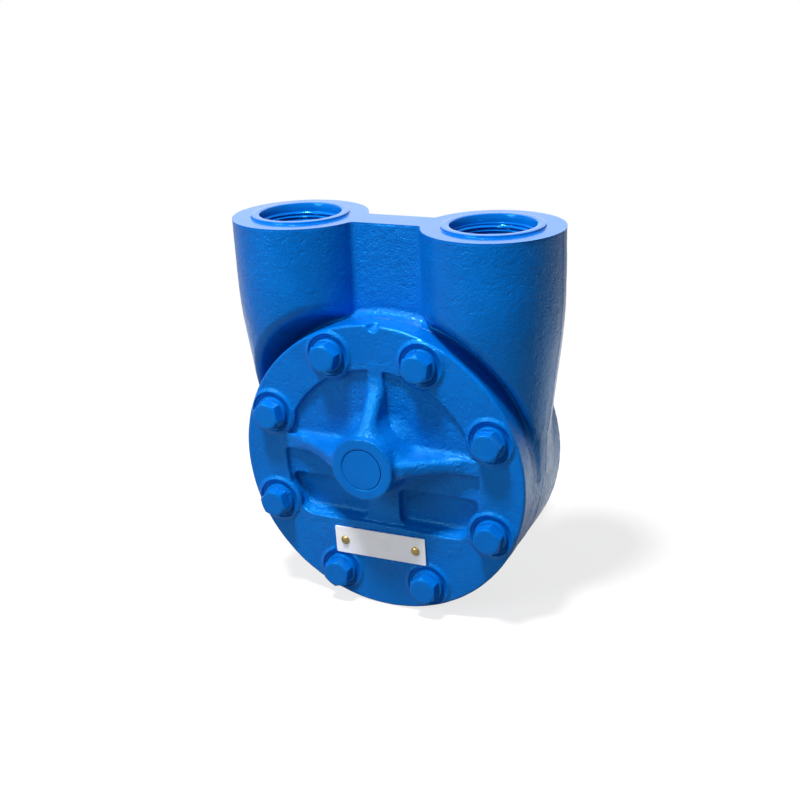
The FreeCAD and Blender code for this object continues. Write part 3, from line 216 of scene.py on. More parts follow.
class GearPumpFastenerSettings(bpy.types.PropertyGroup):
    bolts: IntProperty(name="Bolts", description="Bolts round the cover", default=8, min=3)
    bolt_circle: length("Bolt circle", "Radius of the circle of the bolts", 77.25)
    shank_radius: length("Shank radius", "Cover bolt under its head", 5.55)
    across_flats: length("Across flats", "Width of a bolt head", 15.875)
    head_height: length("Head height", "Height of a bolt head", 7.2)
    washer_radius: length("Washer radius", "Lock washer, outside", 9.9)
    washer_slit: length("Washer slit", "Gap in a lock washer", 0.5)
    plate_width: length("Plate width", "Nameplate", 61.0)
    plate_height: length("Plate height", "Nameplate", 18.0)
    plate_tilt: FloatProperty(
        name="Plate tilt", description="Nameplate out of level", default=math.radians(1.4),
        subtype="ANGLE", unit="ROTATION")
    screw_offset: length("Screw offset", "Drive screw to the plate's middle", 23.9)
    screw_radius: length("Screw radius", "Head of a drive screw", 2.9)
    screw_height: length("Screw height", "Height of that head", 1.5)


class GearPumpFinishSettings(bpy.types.PropertyGroup):
    paint: tint("Paint", "Enamel on the castings and bolts", (0.0, 0.118, 0.50))
    paint_thin: tint("Thin paint", "The same enamel where it is thin", (0.0, 0.136, 0.56))
    grain_height: length("Grain height", "Sand-cast grain of the castings", 0.16)
    wave_height: length("Wave height", "Slow unevenness of the castings", 0.35)


class GearPumpStageSettings(bpy.types.PropertyGroup):
    camera_place: FloatVectorProperty(
        name="Camera", description="Place of the camera in the pump's frame", subtype="XYZ",
        unit="LENGTH", default=(0.2828, -0.6345, 0.2923))
    camera_right: direction("Right", "the picture's right side", (0.9076, 0.4179, -0.0405))
    camera_up: direction("Up", "the picture's top", (-0.1196, 0.3500, 0.9291))
    lens: number("Lens", "Focal length in mm on a sensor 36 mm wide", 51.56)
    floor_colour: tint("Floor", "Colour of the floor", (0.24, 0.24, 0.244))
    # floor_white also sets the strength of the floor's painted reflection glow behind the pump,
    # seen only in glossy rays.
    floor_white: number("Floor white", "What the camera sees on top of the floor's colour", 0.76)
    sky_light: number("Sky light", "Strength of the soft light from all round", 0.18)


# Solids as signed distance: below zero inside, in millimetres.

def join(*solids):
    """All the solids together."""
    return reduce(np.minimum, solids)


def common(*solids):
    """What all the solids share."""
    return reduce(np.maximum, solids)


def cut(solid, tool):
    """The solid without the tool."""
    return np.maximum(solid, -tool)


def rounded_join(first, second, radius):
    """Both solids together, with a fillet where they meet."""
    corner = np.hypot(np.maximum(radius - first, 0), np.maximum(radius - second, 0))
    return np.maximum(radius, np.minimum(first, second)) - corner


def rounded_common(first, second, radius):
    """What both solids share, with its edge rounded."""
    corner = np.hypot(np.maximum(radius + first, 0), np.maximum(radius + second, 0))
    return np.minimum(-radius, np.maximum(first, second)) + corner


def rounded_cut(solid, tool, radius):
    """The solid without the tool, with the edge of the cut rounded."""
    return rounded_common(solid, -tool, radius)


def between(values, low, high):
    """Distance to a layer between two planes."""
    return np.maximum(low - values, values - high)


def soft_step(values, start, end):
    """0 before start, 1 after end, and smooth between them."""
    share = np.clip((values - start) / (end - start), 0, 1)
    return share * share * (3 - 2 * share)


def bolt_distance(x, z, radius, number):
    """Distance to the nearest of the bolt axes, which stand half a step from level."""
    step = 2 * math.pi / number
    angle = np.arctan2(z, x)
    off_axis = np.mod(angle, step) - step / 2
    ring = np.hypot(x, z)
    return np.hypot(ring * np.cos(off_axis) - radius, ring * np.sin(off_axis))


def body_solid(x, y, z):
    """The casing with its port columns, web, mounting pad, rear hub and hollows."""
    size = bpy.context.scene.gear_pump_body
    ring = np.hypot(x, z)
    beside = np.abs(x) - size.port_x
    port = np.hypot(beside, y + size.port_y)

    casing = rounded_common(ring - CASING_RADIUS, between(y, JOINT - 4, -size.pad_height), 1.4)
    casing = common(casing, JOINT - y)
    pad = rounded_common(ring - size.pad_radius, between(y, -size.pad_height - 8, 0), 0.6)
    body = rounded_join(casing, pad, 2.5)
    tail = rounded_common(ring - TAIL_RADIUS, between(y, -8, BODY_BOX[1].y), 0.8)
    spigot = rounded_common(ring - SPIGOT_RADIUS, between(y, -8, SPIGOT_LENGTH), 0.5)
    body = join(body, tail, spigot)

    below = np.logaddexp(0, (size.taper_top - z) / 6) * 6
    column = port - size.column_radius + size.column_taper * below
    column = common(column, -z)
    web = common(np.abs(y + size.port_y) - size.web_thickness / 2, beside, 50 - z)
    upper = rounded_join(column, web, size.web_fillet)
    ahead = np.maximum(-size.relief_start - y, 0)
    relief = ring - CASING_RADIUS - RELIEF_SLOPE * ahead + RELIEF_CURVE * ahead ** 2
    upper = rounded_cut(upper, common(relief * RELIEF_SCALE, y + size.relief_start), 5.0)
    fillet = 1.2 + (size.foot_fillet - 1.2) * soft_step(y, -61, -52)
    body = rounded_join(body, upper, fillet)
    body = cut(body, common(ring - CASING_RADIUS - 0.4, y - JOINT))

    outer = soft_step(beside, 12, 26) * soft_step(z, 10, 40) * soft_step(size.port_top - z, 1, 7)
    outer += soft_step(np.abs(x), 25, 50) * soft_step(ring, CASING_RADIUS - 5, CASING_RADIUS - 2)
    outer = np.minimum(outer, 1)
    ridge = np.exp(-((y + size.port_y) / 1.1) ** 2)
    body = body - size.ridge_height * ridge * outer

    centre = np.hypot(beside, y + PASSAGE_Y)
    passage = join(common(centre - PASSAGE_RADIUS, ELBOW_HEIGHT - z),
                   common(port - DRILL_RADIUS, DRILL_FLOOR - z),
                   common(port - THREAD_ROOM_RADIUS, THREAD_ROOM_FLOOR - z),
                   common(port - size.lip_radius + 0.6, MOUTH_ROOM_FLOOR - z))
    bend = np.hypot(centre, z - ELBOW_HEIGHT) - PASSAGE_RADIUS
    slope = math.hypot(size.port_x, ELBOW_HEIGHT)
    along = (np.abs(x) * size.port_x + z * ELBOW_HEIGHT) / slope
    across = (np.abs(x) * ELBOW_HEIGHT - z * size.port_x) / slope
    throat = np.hypot(across, y + PASSAGE_Y) - THROAT_RADIUS
    throat = common(throat, between(along, 20, slope))
    chamber = common(ring - CHAMBER_RADIUS, y - JOINT - CHAMBER_DEPTH)
    bores = [common(ring - radius, between(y, start, end)) for radius, start, end in BODY_BORES]
    mount = np.hypot(np.abs(x) - MOUNT_HOLE_OFFSET, np.abs(z) - MOUNT_HOLE_OFFSET) - MOUNT_HOLE
    mount = common(mount, -MOUNT_HOLE_DEPTH - y)
    bolts = bpy.context.scene.gear_pump_fasteners
    tapped = bolt_distance(x, z, bolts.bolt_circle, bolts.bolts) - bolts.shank_radius - 0.05
    tapped = common(tapped, y - TAPPED_HOLE_END)
    return cut(body, join(passage, bend, throat, chamber, *bores, mount, tapped))


def cover_solid(x, y, z):
    """The front cover with its recess, deep pockets, pin boss, three ribs and crescent."""
    size = bpy.context.scene.gear_pump_cover
    bolts = bpy.context.scene.gear_pump_fasteners
    face = WASHER_BOX[1].y - size.spot_depth
    nose = COVER_BOX[0].y
    ring = np.hypot(x, z)
    up = z - PIN_HEIGHT
    pin = np.hypot(x, up)
    beside = np.abs(x)

    rim = ring - CASING_RADIUS
    disc = rounded_common(rim - 0.12 * soft_step(z, -91, -84), face - y, size.rim_round)
    disc = common(disc, y - np.where(ring > 90, JOINT, COVER_BACK))
    half = size.rib_thickness / 2
    depth = np.clip(y - face, 0, size.well_depth)
    low = -size.recess_floor + size.well_draft * depth / size.well_depth
    hollow = rounded_common(ring - size.recess_radius + 0.15 * depth, low - z, size.recess_corner)
    kept = join(np.abs(up) - half, common(beside - half, -up))
    recess = cut(common(hollow, y - face - size.recess_depth), kept)
    disc = rounded_cut(disc, recess, 1.0)
    well = rounded_common(size.well_inner - beside, z + size.well_top, size.well_corner)
    well = rounded_common(well, hollow, size.well_corner)
    well = rounded_common(well, y - face - size.well_depth, 2.0)
    disc = rounded_cut(disc, well, 1.2)

    reach = size.side_rib_reach
    rise = SIDE_RIB_RISE * np.maximum(reach - beside, 0) ** SIDE_RIB_POWER
    rise = rise - 2.5 * soft_step(beside, reach - 12, reach - 4)
    crest = (face - rise - y) * SIDE_RIB_SCALE
    flank = np.abs(up) - half - RIB_DRAFT * (y - face + rise)
    side_rib = common(rounded_common(flank, crest, size.rib_edge), beside - reach - 2)
    rise = TOP_RIB_SLOPE * np.maximum(size.top_rib_reach - up, -4)
    crest = (face - rise - y) * TOP_RIB_SCALE
    flank = beside - half - RIB_DRAFT * (y - face + rise)
    top_rib = rounded_common(flank, crest, size.rib_edge)
    top_rib = common(top_rib, -up, ring - size.recess_radius - 2)
    arms = rounded_join(side_rib, top_rib, 5)
    arms = rounded_common(arms, nose + size.collar - y, 2.0)
    cover = rounded_join(disc, common(arms, y - face - FOOT_DEPTH), size.foot_fillet)
    boss = pin - size.boss_radius - size.boss_draft * (y - nose)
    boss = common(rounded_common(boss, nose - y, 1.0), y - face - FOOT_DEPTH)
    fillet = 2.0 + (size.boss_fillet - 2) * soft_step(y - nose, 3, 12)
    cover = rounded_join(cover, boss, fillet)

    crescent = common(ring - CRESCENT_OUTER, CRESCENT_INNER - pin, z + 5,
                      between(y, COVER_BACK - 2, CRESCENT_END))
    cover = join(cover, crescent)

    axis = bolt_distance(x, z, bolts.bolt_circle, bolts.bolts)
    inner, outer = size.bolt_pad_radius - 0.8, size.bolt_pad_radius + 2.8
    lip = soft_step(axis, inner, inner + 0.8) * (1 - soft_step(axis, outer - 2.5, outer))
    low, high = PLATE_BOX
    plate = common(between(x, low.x, high.x), between(z, low.z, high.z))
    lip = lip * soft_step(plate, 0.3, 2.5)
    raised = common(0.75 * (face - size.bolt_pad_height * lip - y), y - face - 4)
    raised = rounded_common(common(raised, axis - outer), rim + 0.3, size.rim_round)
    cover = join(cover, raised)
    cover = rounded_cut(cover, common(axis - size.spot_radius, y - face - size.spot_depth), 0.4)
    hole = join(axis - bolts.shank_radius - 0.4, pin - PIN_BOX[1].x)
    groove = common(pin - PIN_BOX[1].x - 0.5, y - nose - 0.9)
    cover = cut(cover, join(hole, groove))
    scoop = np.hypot(x, z - CASING_RADIUS)
    scoop = np.hypot(scoop, (y - face) * 0.6) - size.notch_radius
    return rounded_cut(cover, scoop, 0.9)


def surface_net(values, low, step):
    """Points and quads of the surface where a grid of distances passes zero."""
    inside = values < 0
    filled = np.zeros([count - 1 for count in values.shape], np.uint8)
    corners = list(np.ndindex(2, 2, 2))
    for corner in corners:
        filled += inside[tuple(slice(n, n + count) for n, count in zip(corner, filled.shape))]
    active = (filled > 0) & (filled < 8)
    cells = np.argwhere(active)
    number = np.full(active.shape, -1, np.int32)
    number[active] = np.arange(len(cells), dtype=np.int32)

    total = np.zeros((len(cells), 3))
    hits = np.zeros(len(cells))
    at_corner = {c: values[tuple((cells + c).T)].astype(np.float64) for c in corners}
    for start in corners:
        for axis in range(3):
            if start[axis]:
                continue
            end = tuple(1 if n == axis else start[n] for n in range(3))
            one, other = at_corner[start], at_corner[end]
            crossed = (one < 0) != (other < 0)
            total[crossed] += start
            total[crossed, axis] += (one / (one - other + 1e-12))[crossed]
            hits[crossed] += 1
    points = np.asarray(low) + step * (cells + total / hits[:, None])

    quads = []
    for axis in range(3):
        side, other = [n for n in range(3) if n != axis]
        near = [slice(1, -1)] * 3
        far = [slice(1, -1)] * 3
        near[axis] = slice(0, -1)
        far[axis] = slice(1, None)
        first, second = inside[tuple(near)], inside[tuple(far)]
        for leaving in (True, False):
            place = np.argwhere(first & ~second if leaving else ~first & second)
            place[:, side] += 1
            place[:, other] += 1
            back_side, back_other = np.eye(3, dtype=int)[[side, other]]
            around = [place, place - back_side, place - back_side - back_other, place - back_other]
            if leaving != (axis == 1):
                around.reverse()
            quads.append(np.stack([number[tuple(cell.T)] for cell in around], axis=1))
    return points, np.concatenate(quads)


def settle(points, quads, solid, step, rounds=3):
    """Evens the points out a little and puts each one exactly on the solid's surface."""
    placed = points.copy()
    weight = np.bincount(quads.ravel(), minlength=len(points))
    for axis in range(3):
        centre = points[quads, axis].mean(axis=1)
        pulled = np.bincount(quads.ravel(), np.repeat(centre, 4), len(points))
        placed[:, axis] = pulled / np.maximum(weight, 1)
    reach = 0.02
    for _ in range(rounds):
        here = solid(*placed.T)
        slope = np.empty_like(placed)
        for axis, shift in enumerate(reach * np.eye(3)):
            ahead, behind = solid(*(placed + shift).T), solid(*(placed - shift).T)
            slope[:, axis] = (ahead - behind) / (2 * reach)
        steep = np.maximum((slope ** 2).sum(axis=1), 0.25)
        move = -slope * (here / steep)[:, None]
        limit = np.maximum(np.sqrt((move ** 2).sum(axis=1)) / (0.7 * step), 1)
        placed += move / limit[:, None]
    return placed


def skin(name, solid, low, high, step):
    """A smooth mesh of a solid given by its distance, in the pump's frame."""
    axes = [np.arange(a - 1.5 * step, b + 1.6 * step, step, dtype=np.float32)
            for a, b in zip(low, high)]
    grid = np.meshgrid(*axes, indexing="ij", sparse=True)
    values = solid(*grid)
    points, quads = surface_net(values, [axis[0] for axis in axes], step)
    points = settle(points, quads, solid, step)
    return mesh_object(name, points * MM, quads[:, ::-1])


def mesh_object(name, points, faces):
    """A new object of these points in metres and faces, in the pump's frame."""
    mesh = bpy.data.meshes.new(name)
    mesh.from_pydata(np.asarray(points).tolist(), [], [list(map(int, face)) for face in faces])
    mesh.validate()
    piece = bpy.data.objects.new(name, mesh)
    bpy.context.scene.collection.objects.link(piece)
    mesh.polygons.foreach_set("use_smooth", np.ones(len(mesh.polygons), bool))
    return piece


def points_of(piece):
    """The mesh's points in millimetres as three arrays."""
    flat = np.zeros(len(piece.data.vertices) * 3)
    piece.data.vertices.foreach_get("co", flat)
    return (flat.reshape(-1, 3) / MM).T


def cast_surface(piece, weights):
    """Gives a casting its sand grain and slow waves, held back where it is machined."""
    finish = bpy.context.scene.gear_pump_finish
    rough = piece.data.attributes.new("as_cast", "FLOAT", "POINT")
    rough.data.foreach_set("value", weights.astype(np.float32))
    group = piece.vertex_groups.new(name="as_cast")
    for level in range(1, 11):
        chosen = np.nonzero(np.round(weights * 10) == level)[0]
        if len(chosen):
            group.add(chosen.tolist(), level / 10, "REPLACE")
    for name, size, height in (("sand_grain", 0.0022, finish.grain_height),
                               ("mould_waves", 0.016, finish.wave_height)):
        texture = bpy.data.textures.get(name) or bpy.data.textures.new(name, "CLOUDS")
        texture.noise_scale = size
        texture.noise_depth = 2
        lump = piece.modifiers.new(name, "DISPLACE")
        lump.texture = texture
        lump.texture_coords = "LOCAL"
        lump.mid_level = 0.8
        lump.strength = 2 * height * MM
        lump.vertex_group = group.name


def trim_top(piece, height):
    """Cuts the piece level at a height in mm and closes the cut with a flat, crisp face."""
    work = bmesh.new()
    work.from_mesh(piece.data)
    everything = work.verts[:] + work.edges[:] + work.faces[:]
    plane = Vector((0, 0, height * MM))
    bmesh.ops.bisect_plane(work, geom=everything, plane_co=plane, plane_no=(0, 0, 1),
                           clear_outer=True, dist=1e-7)
    cut = [corner for corner in work.verts if abs(corner.co.z - plane.z) < 1e-6]
    bmesh.ops.remove_doubles(work, verts=cut, dist=0.001 * MM)
    work.verts.index_update()
    rim = [edge for edge in work.edges if edge.is_boundary]
    corners = sorted({corner for edge in rim for corner in edge.verts},
                     key=lambda corner: corner.index)
    order = {corner: number for number, corner in enumerate(corners)}
    spots = [corner.co.xy / MM for corner in corners]
    lines = [(order[edge.verts[0]], order[edge.verts[1]]) for edge in rim]
    for edge in rim:
        edge.smooth = False
    made, _, triangles, sources, _, _ = delaunay_2d_cdt(spots, lines, [], 0, 1e-6)
    from_x, from_y = np.array([spots[line[0]] for line in lines]).T
    to_x, to_y = np.array([spots[line[1]] for line in lines]).T
    for triangle in triangles:
        x, y = np.mean([made[n] for n in triangle], axis=0)
        crossed = np.nonzero((from_y > y) != (to_y > y))[0]
        run, rise = (to_x - from_x)[crossed], (to_y - from_y)[crossed]
        meets = from_x[crossed] + run * (y - from_y[crossed]) / rise
        if np.count_nonzero(meets > x) % 2 == 0:
            continue
        face = work.faces.new([corners[sources[n][0]] for n in triangle])
        face.smooth = False
        face.normal_update()
        if face.normal.z < 0:
            face.normal_flip()
    bmesh.ops.delete(work, geom=[edge for edge in work.edges if edge.is_wire], context="EDGES")
    if any(edge.is_boundary for edge in work.edges):
        raise RuntimeError("The cut at the top isn't closed")
    work.to_mesh(piece.data)
    work.free()


def strips(rows, columns, closed=False):
    """Quads between rings of points, and from the last ring to the first if closed."""
    faces = []
    for row in range(rows if closed else rows - 1):
        after = (row + 1) % rows
        for column in range(columns):
            beyond = (column + 1) % columns
            faces.append((row * columns + column, row * columns + beyond,
                          after * columns + beyond, after * columns + column))
    return faces


def turned(name, profile, axis_place, axis, segments=96, closed=True):
    """A piece turned round an axis from corners (radius, distance along), in mm."""
    turn = Vector((0, 0, 1)).rotation_difference(Vector(axis)).to_matrix()
    angles = np.arange(segments) * 2 * math.pi / segments
    points = []
    for radius, along in profile:
        for angle in angles:
            spot = turn @ Vector((radius * math.cos(angle), radius * math.sin(angle), along))
            points.append((spot + Vector(axis_place)) * MM)
    faces = strips(len(profile), segments, closed)
    if not closed:
        faces.append(range(segments))
        faces.append(range(len(points) - segments, len(points)))
    return mesh_object(name, points, faces)


def crease(piece, degrees):
    """Turns every face outwards, and keeps edges sharper than this crisp."""
    work = bmesh.new()
    work.from_mesh(piece.data)
    bmesh.ops.remove_doubles(work, verts=work.verts, dist=1e-7)
    bmesh.ops.recalc_face_normals(work, faces=work.faces)
    work.to_mesh(piece.data)
    work.free()
    piece.data.polygons.foreach_set("use_smooth", np.ones(len(piece.data.polygons), bool))
    piece.data.set_sharp_from_angle(angle=math.radians(degrees))


def dress(piece, body, slot, *nodes):
    """Puts a piece on its body, in its slot's finish, in place of CAD nodes."""
    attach(piece, body)
    if nodes:
        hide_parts(*nodes)
    piece.data.materials.clear()
    piece.data.materials.append(finish_of(slot))


# Finishes.

def new_group(name, inputs, outputs):
    """An empty shader node group with its sockets: (name, kind, default)."""
    group = bpy.data.node_groups.new(name, "ShaderNodeTree")
    for socket, kind, default in inputs:
        made = group.interface.new_socket(socket, in_out="INPUT", socket_type=kind)
        made.default_value = default
    for socket, kind in outputs:
        group.interface.new_socket(socket, in_out="OUTPUT", socket_type=kind)
    start = group.nodes.new("NodeGroupInput")
    end = group.nodes.new("NodeGroupOutput")
    return group, start, end


def node(tree, kind, **values):
    """A node with its settings and the values or links of its inputs."""
    made = tree.nodes.new(kind)
    for name, value in values.items():
        if name == "inputs":
            for socket, given in value.items():
                if isinstance(given, bpy.types.NodeSocket):
                    tree.links.new(given, made.inputs[socket])
                else:
                    made.inputs[socket].default_value = given
        else:
            setattr(made, name, value)
    return made


def noise(tree, vector, scale, detail=3.0, roughness=0.5):
    made = node(tree, "ShaderNodeTexNoise", inputs={
        "Vector": vector, "Scale": scale, "Detail": detail, "Roughness": roughness})
    return made.outputs["Fac"]


def arithmetic(tree, operation, first, second):
    made = node(tree, "ShaderNodeMath", operation=operation, inputs={0: first, 1: second})
    return made.outputs[0]


def times(tree, first, second):
    return arithmetic(tree, "MULTIPLY", first, second)


def spread(tree, value, low, high, to_low=0.0, to_high=1.0):
    """A value's range from low to high, widened to another range."""
    return node(tree, "ShaderNodeMapRange", interpolation_type="SMOOTHSTEP", inputs={
        "Value": value, "From Min": low, "From Max": high,
        "To Min": to_low, "To Max": to_high}).outputs["Result"]


def blend_colours(tree, share, first, second):
    made = node(tree, "ShaderNodeMix", data_type="RGBA")
    for socket, given in (("Factor", share), ("A", first), ("B", second)):
        entry = [s for s in made.inputs if s.name == socket and s.enabled][0]
        if isinstance(given, bpy.types.NodeSocket):
            tree.links.new(given, entry)
        elif socket == "Factor":
            entry.default_value = given
        else:
            entry.default_value = (*given, 1.0)
    return [s for s in made.outputs if s.enabled][0]


def cast_grain_group():
    """Height of a painted sand casting: fine grain, pits and slow unevenness."""
    group, start, end = new_group(
        "Cast grain",
        [("Vector", "NodeSocketVector", (0, 0, 0)), ("Grain", "NodeSocketFloat", 1.0),
         ("Pits", "NodeSocketFloat", 0.5)],
        [("Height", "NodeSocketFloat"), ("Worn", "NodeSocketFloat")])
    place = start.outputs["Vector"]
    fine = noise(group, place, 950.0, 3.0, 0.6)
    coarse = noise(group, place, 260.0, 3.0, 0.55)
    pits = spread(group, noise(group, place, 330.0, 2.0, 0.5), 0.30, 0.42, -1.0, 0.0)
    coarse = times(group, coarse, 0.7)
    grain = arithmetic(group, "ADD", times(group, fine, 0.8), coarse)
    grain = times(group, grain, start.outputs["Grain"])
    pits = times(group, pits, start.outputs["Pits"])
    group.links.new(arithmetic(group, "ADD", grain, pits), end.inputs["Height"])
    group.links.new(noise(group, place, 38.0, 5.0, 0.6), end.inputs["Worn"])
    return group


def brushed_group():
    """Fine scratches of turned or ground metal, with faint stains."""
    group, start, end = new_group(
        "Machined metal",
        [("Vector", "NodeSocketVector", (0, 0, 0)), ("Scratches", "NodeSocketFloat", 1.0)],
        [("Height", "NodeSocketFloat"), ("Stain", "NodeSocketFloat")])
    stretched = node(group, "ShaderNodeVectorMath", operation="MULTIPLY",
                     inputs={0: start.outputs["Vector"], 1: (60.0, 1500.0, 60.0)}).outputs[0]
    lines = noise(group, stretched, 1.0, 3.0, 0.6)
    lines = times(group, lines, start.outputs["Scratches"])
    group.links.new(lines, end.inputs["Height"])
    group.links.new(noise(group, start.outputs["Vector"], 90.0, 4.0, 0.6), end.inputs["Stain"])
    return group


def finish_of(slot):
    """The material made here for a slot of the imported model."""
    return bpy.data.materials[f"{slot}_finish"]


def material(slot, **settings):
    """A material with its Principled shader, whose sockets take plain settings."""
    made = bpy.data.materials.new(f"{slot}_finish")
    made.use_nodes = True
    tree = made.node_tree
    shader = tree.nodes["Principled BSDF"]
    for socket, value in settings.items():
        shader.inputs[socket.replace("_", " ")].default_value = value
    place = node(tree, "ShaderNodeTexCoord").outputs["Object"]
    return tree, shader, place


def lay_on(tree, shader, marks, reach, colours, dulls, strength, depth):
    """Spreads two colours and two dullnesses by a group's mask, and adds its relief."""
    height, mask = marks.outputs
    share = spread(tree, mask, *reach)
    tree.links.new(blend_colours(tree, share, *colours), shader.inputs["Base Color"])
    tree.links.new(spread(tree, mask, 0.3, 0.7, *dulls), shader.inputs["Roughness"])
    relief = node(tree, "ShaderNodeBump", inputs={
        "Height": height, "Strength": strength, "Distance": depth})
    tree.links.new(relief.outputs["Normal"], shader.inputs["Normal"])


def paint_material(slot, grain_group, roughness, grain, depth):
    """Glossy blue enamel over a casting or a bolt."""
    finish = bpy.context.scene.gear_pump_finish
    tree, shader, place = material(
        slot, Specular_IOR_Level=1.0, Specular_Tint=(0.05, 0.6, 1.0, 1.0),
        Coat_Weight=0.06, Coat_Roughness=0.09)
    cast = node(tree, "ShaderNodeGroup", node_tree=grain_group,
                inputs={"Vector": place, "Grain": grain, "Pits": 0.35 * grain})
    if slot == "casting_paint":
        rough = node(tree, "ShaderNodeAttribute", attribute_name="as_cast").outputs["Fac"]
        tree.links.new(times(tree, rough, grain), cast.inputs["Grain"])
        tree.links.new(times(tree, rough, 0.35 * grain), cast.inputs["Pits"])
    lay_on(tree, shader, cast, (0.35, 0.68), (tuple(finish.paint), tuple(finish.paint_thin)),
           (roughness - 0.04, roughness + 0.06), 1.0, depth)


def marked_material(slot, group, shares, reach, colours, dulls, strength, depth, **settings):
    """A finish whose marks come from a shader group with these shares."""
    tree, shader, place = material(slot, **settings)
    marks = node(tree, "ShaderNodeGroup", node_tree=group, inputs={"Vector": place, **shares})
    lay_on(tree, shader, marks, reach, colours, dulls, strength, depth)


# Rubber, carbon, ceramic and fibre: colour, darker colour, roughness, share of the grain and
# its depth in metres.
DULL_FINISHES = {
    "gasket_fibre": ((0.10, 0.12, 0.11), (0.06, 0.07, 0.07), 0.75, 1.0, 0.0001),
    "seal_rubber": ((0.018, 0.018, 0.019), (0.03, 0.03, 0.03), 0.55, 0.4, 0.00005),
    "seal_carbon": ((0.03, 0.03, 0.032), (0.05, 0.05, 0.05), 0.38, 0.2, 0.00002),
    "seal_ceramic": ((0.74, 0.72, 0.66), (0.66, 0.64, 0.58), 0.25, 0.1, 0.00001),
}
# Turned, ground or drawn metal: colour, stained colour, roughness, share of the scratches
# and metallic.
METAL_FINISHES = {
    "pin_steel": ((0.50, 0.50, 0.50), (0.36, 0.35, 0.34), 0.28, 1.0, 1.0),
    "gear_iron": ((0.38, 0.37, 0.36), (0.24, 0.23, 0.22), 0.38, 1.0, 1.0),
    "bearing_bronze": ((0.55, 0.36, 0.15), (0.40, 0.25, 0.10), 0.32, 1.0, 1.0),
    "shaft_steel": ((0.58, 0.58, 0.58), (0.42, 0.41, 0.40), 0.24, 1.0, 1.0),
    "bearing_steel": ((0.62, 0.62, 0.63), (0.52, 0.52, 0.52), 0.18, 0.5, 1.0),
    "plate_metal": ((0.92, 0.94, 0.97), (0.87, 0.89, 0.92), 0.42, 0.6, 0.12),
    "screw_brass": ((0.68, 0.50, 0.20), (0.50, 0.35, 0.12), 0.26, 0.4, 1.0),
    "screw_steel": ((0.20, 0.20, 0.21), (0.13, 0.13, 0.13), 0.34, 0.4, 1.0),
}


class GEARPUMP_OT_finishes(bpy.types.Operator):
    """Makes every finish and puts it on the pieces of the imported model"""

    bl_idname = "gearpump.finishes"
    bl_label = "Make Finishes"

    def execute(self, context):
        grain = cast_grain_group()
        brushed = brushed_group()
        paint_material("casting_paint", grain, 0.17, 1.0, 0.0007)
        paint_material("bolt_paint", grain, 0.17, 0.5, 0.0004)
        for slot, (colour, darker, dull, share, depth) in DULL_FINISHES.items():
            marked_material(slot, grain, {"Grain": share, "Pits": 0.0}, (0.35, 0.7),
                            (colour, darker), (dull, dull + 0.1), 0.4, depth)
        for slot, (colour, stained, dull, share, metallic) in METAL_FINISHES.items():
            marked_material(slot, brushed, {"Scratches": share}, (0.45, 0.75),
                            (colour, stained), (dull, dull + 0.12), 0.25, 0.00003,
                            Metallic=metallic)
        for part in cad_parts.values():
            for place in part.material_slots:
                place.material = finish_of(place.material.name.split(".")[0])
        return {"FINISHED"}


class GEARPUMP_OT_body(bpy.types.Operator):
    """Skins the body casting with its fillets, parting ridge and cast surface"""

    bl_idname = "gearpump.body"
    bl_label = "Body Casting"

    def execute(self, context):
        size = context.scene.gear_pump_body
        high = list(BODY_BOX[1])
        high[2] = size.port_top + 2
        body = skin("body_casting", body_solid, BODY_BOX[0], high, size.grid)
        trim_top(body, size.port_top)
        x, y, z = points_of(body)
        ring = np.hypot(x, z)
        port = np.hypot(np.abs(x) - size.port_x, y + size.port_y)
        cast = soft_step(ring, size.pad_radius + 1, size.pad_radius + 4)
        cast *= soft_step(size.port_top - z, 0.2, 1.5)
        cast *= 1 - 0.4 * soft_step(np.abs(x), 14, 22) * soft_step(z, 20, 50)
        cast *= 1 - soft_step(29.5 - port, -1, 1) * soft_step(z, 60, 70)
        cast *= 1 - (ring < CASING_RADIUS - 0.5) * (y < JOINT + 0.6)
        cast_surface(body, cast)
        dress(body, "pump", "casting_paint", "pump_body")
        return {"FINISHED"}


def cut_thread(ring, size, thread_start, rows, x, start):
    """Moves the thread's rows in and out so that they rise as one helix."""
    for row in range(1, rows):
        for column in range(THREAD_COLUMNS):
            vertex = ring.data.vertices[(thread_start + row) * THREAD_COLUMNS + column]
            turn = size.thread_length * row / rows / size.thread_pitch
            turn += column / THREAD_COLUMNS + start
            flank = abs(2 * (turn % 1) - 1)
            inward = size.thread_depth * min(max(1.25 * flank - 0.12, 0), 1)
            inward *= min(1, row / 6)
            spot = Vector((vertex.co.x / MM - x, vertex.co.y / MM + size.port_y))
            spot *= (size.thread_radius - inward) / size.thread_radius
            vertex.co.x = (spot.x + x) * MM
            vertex.co.y = (spot.y - size.port_y) * MM


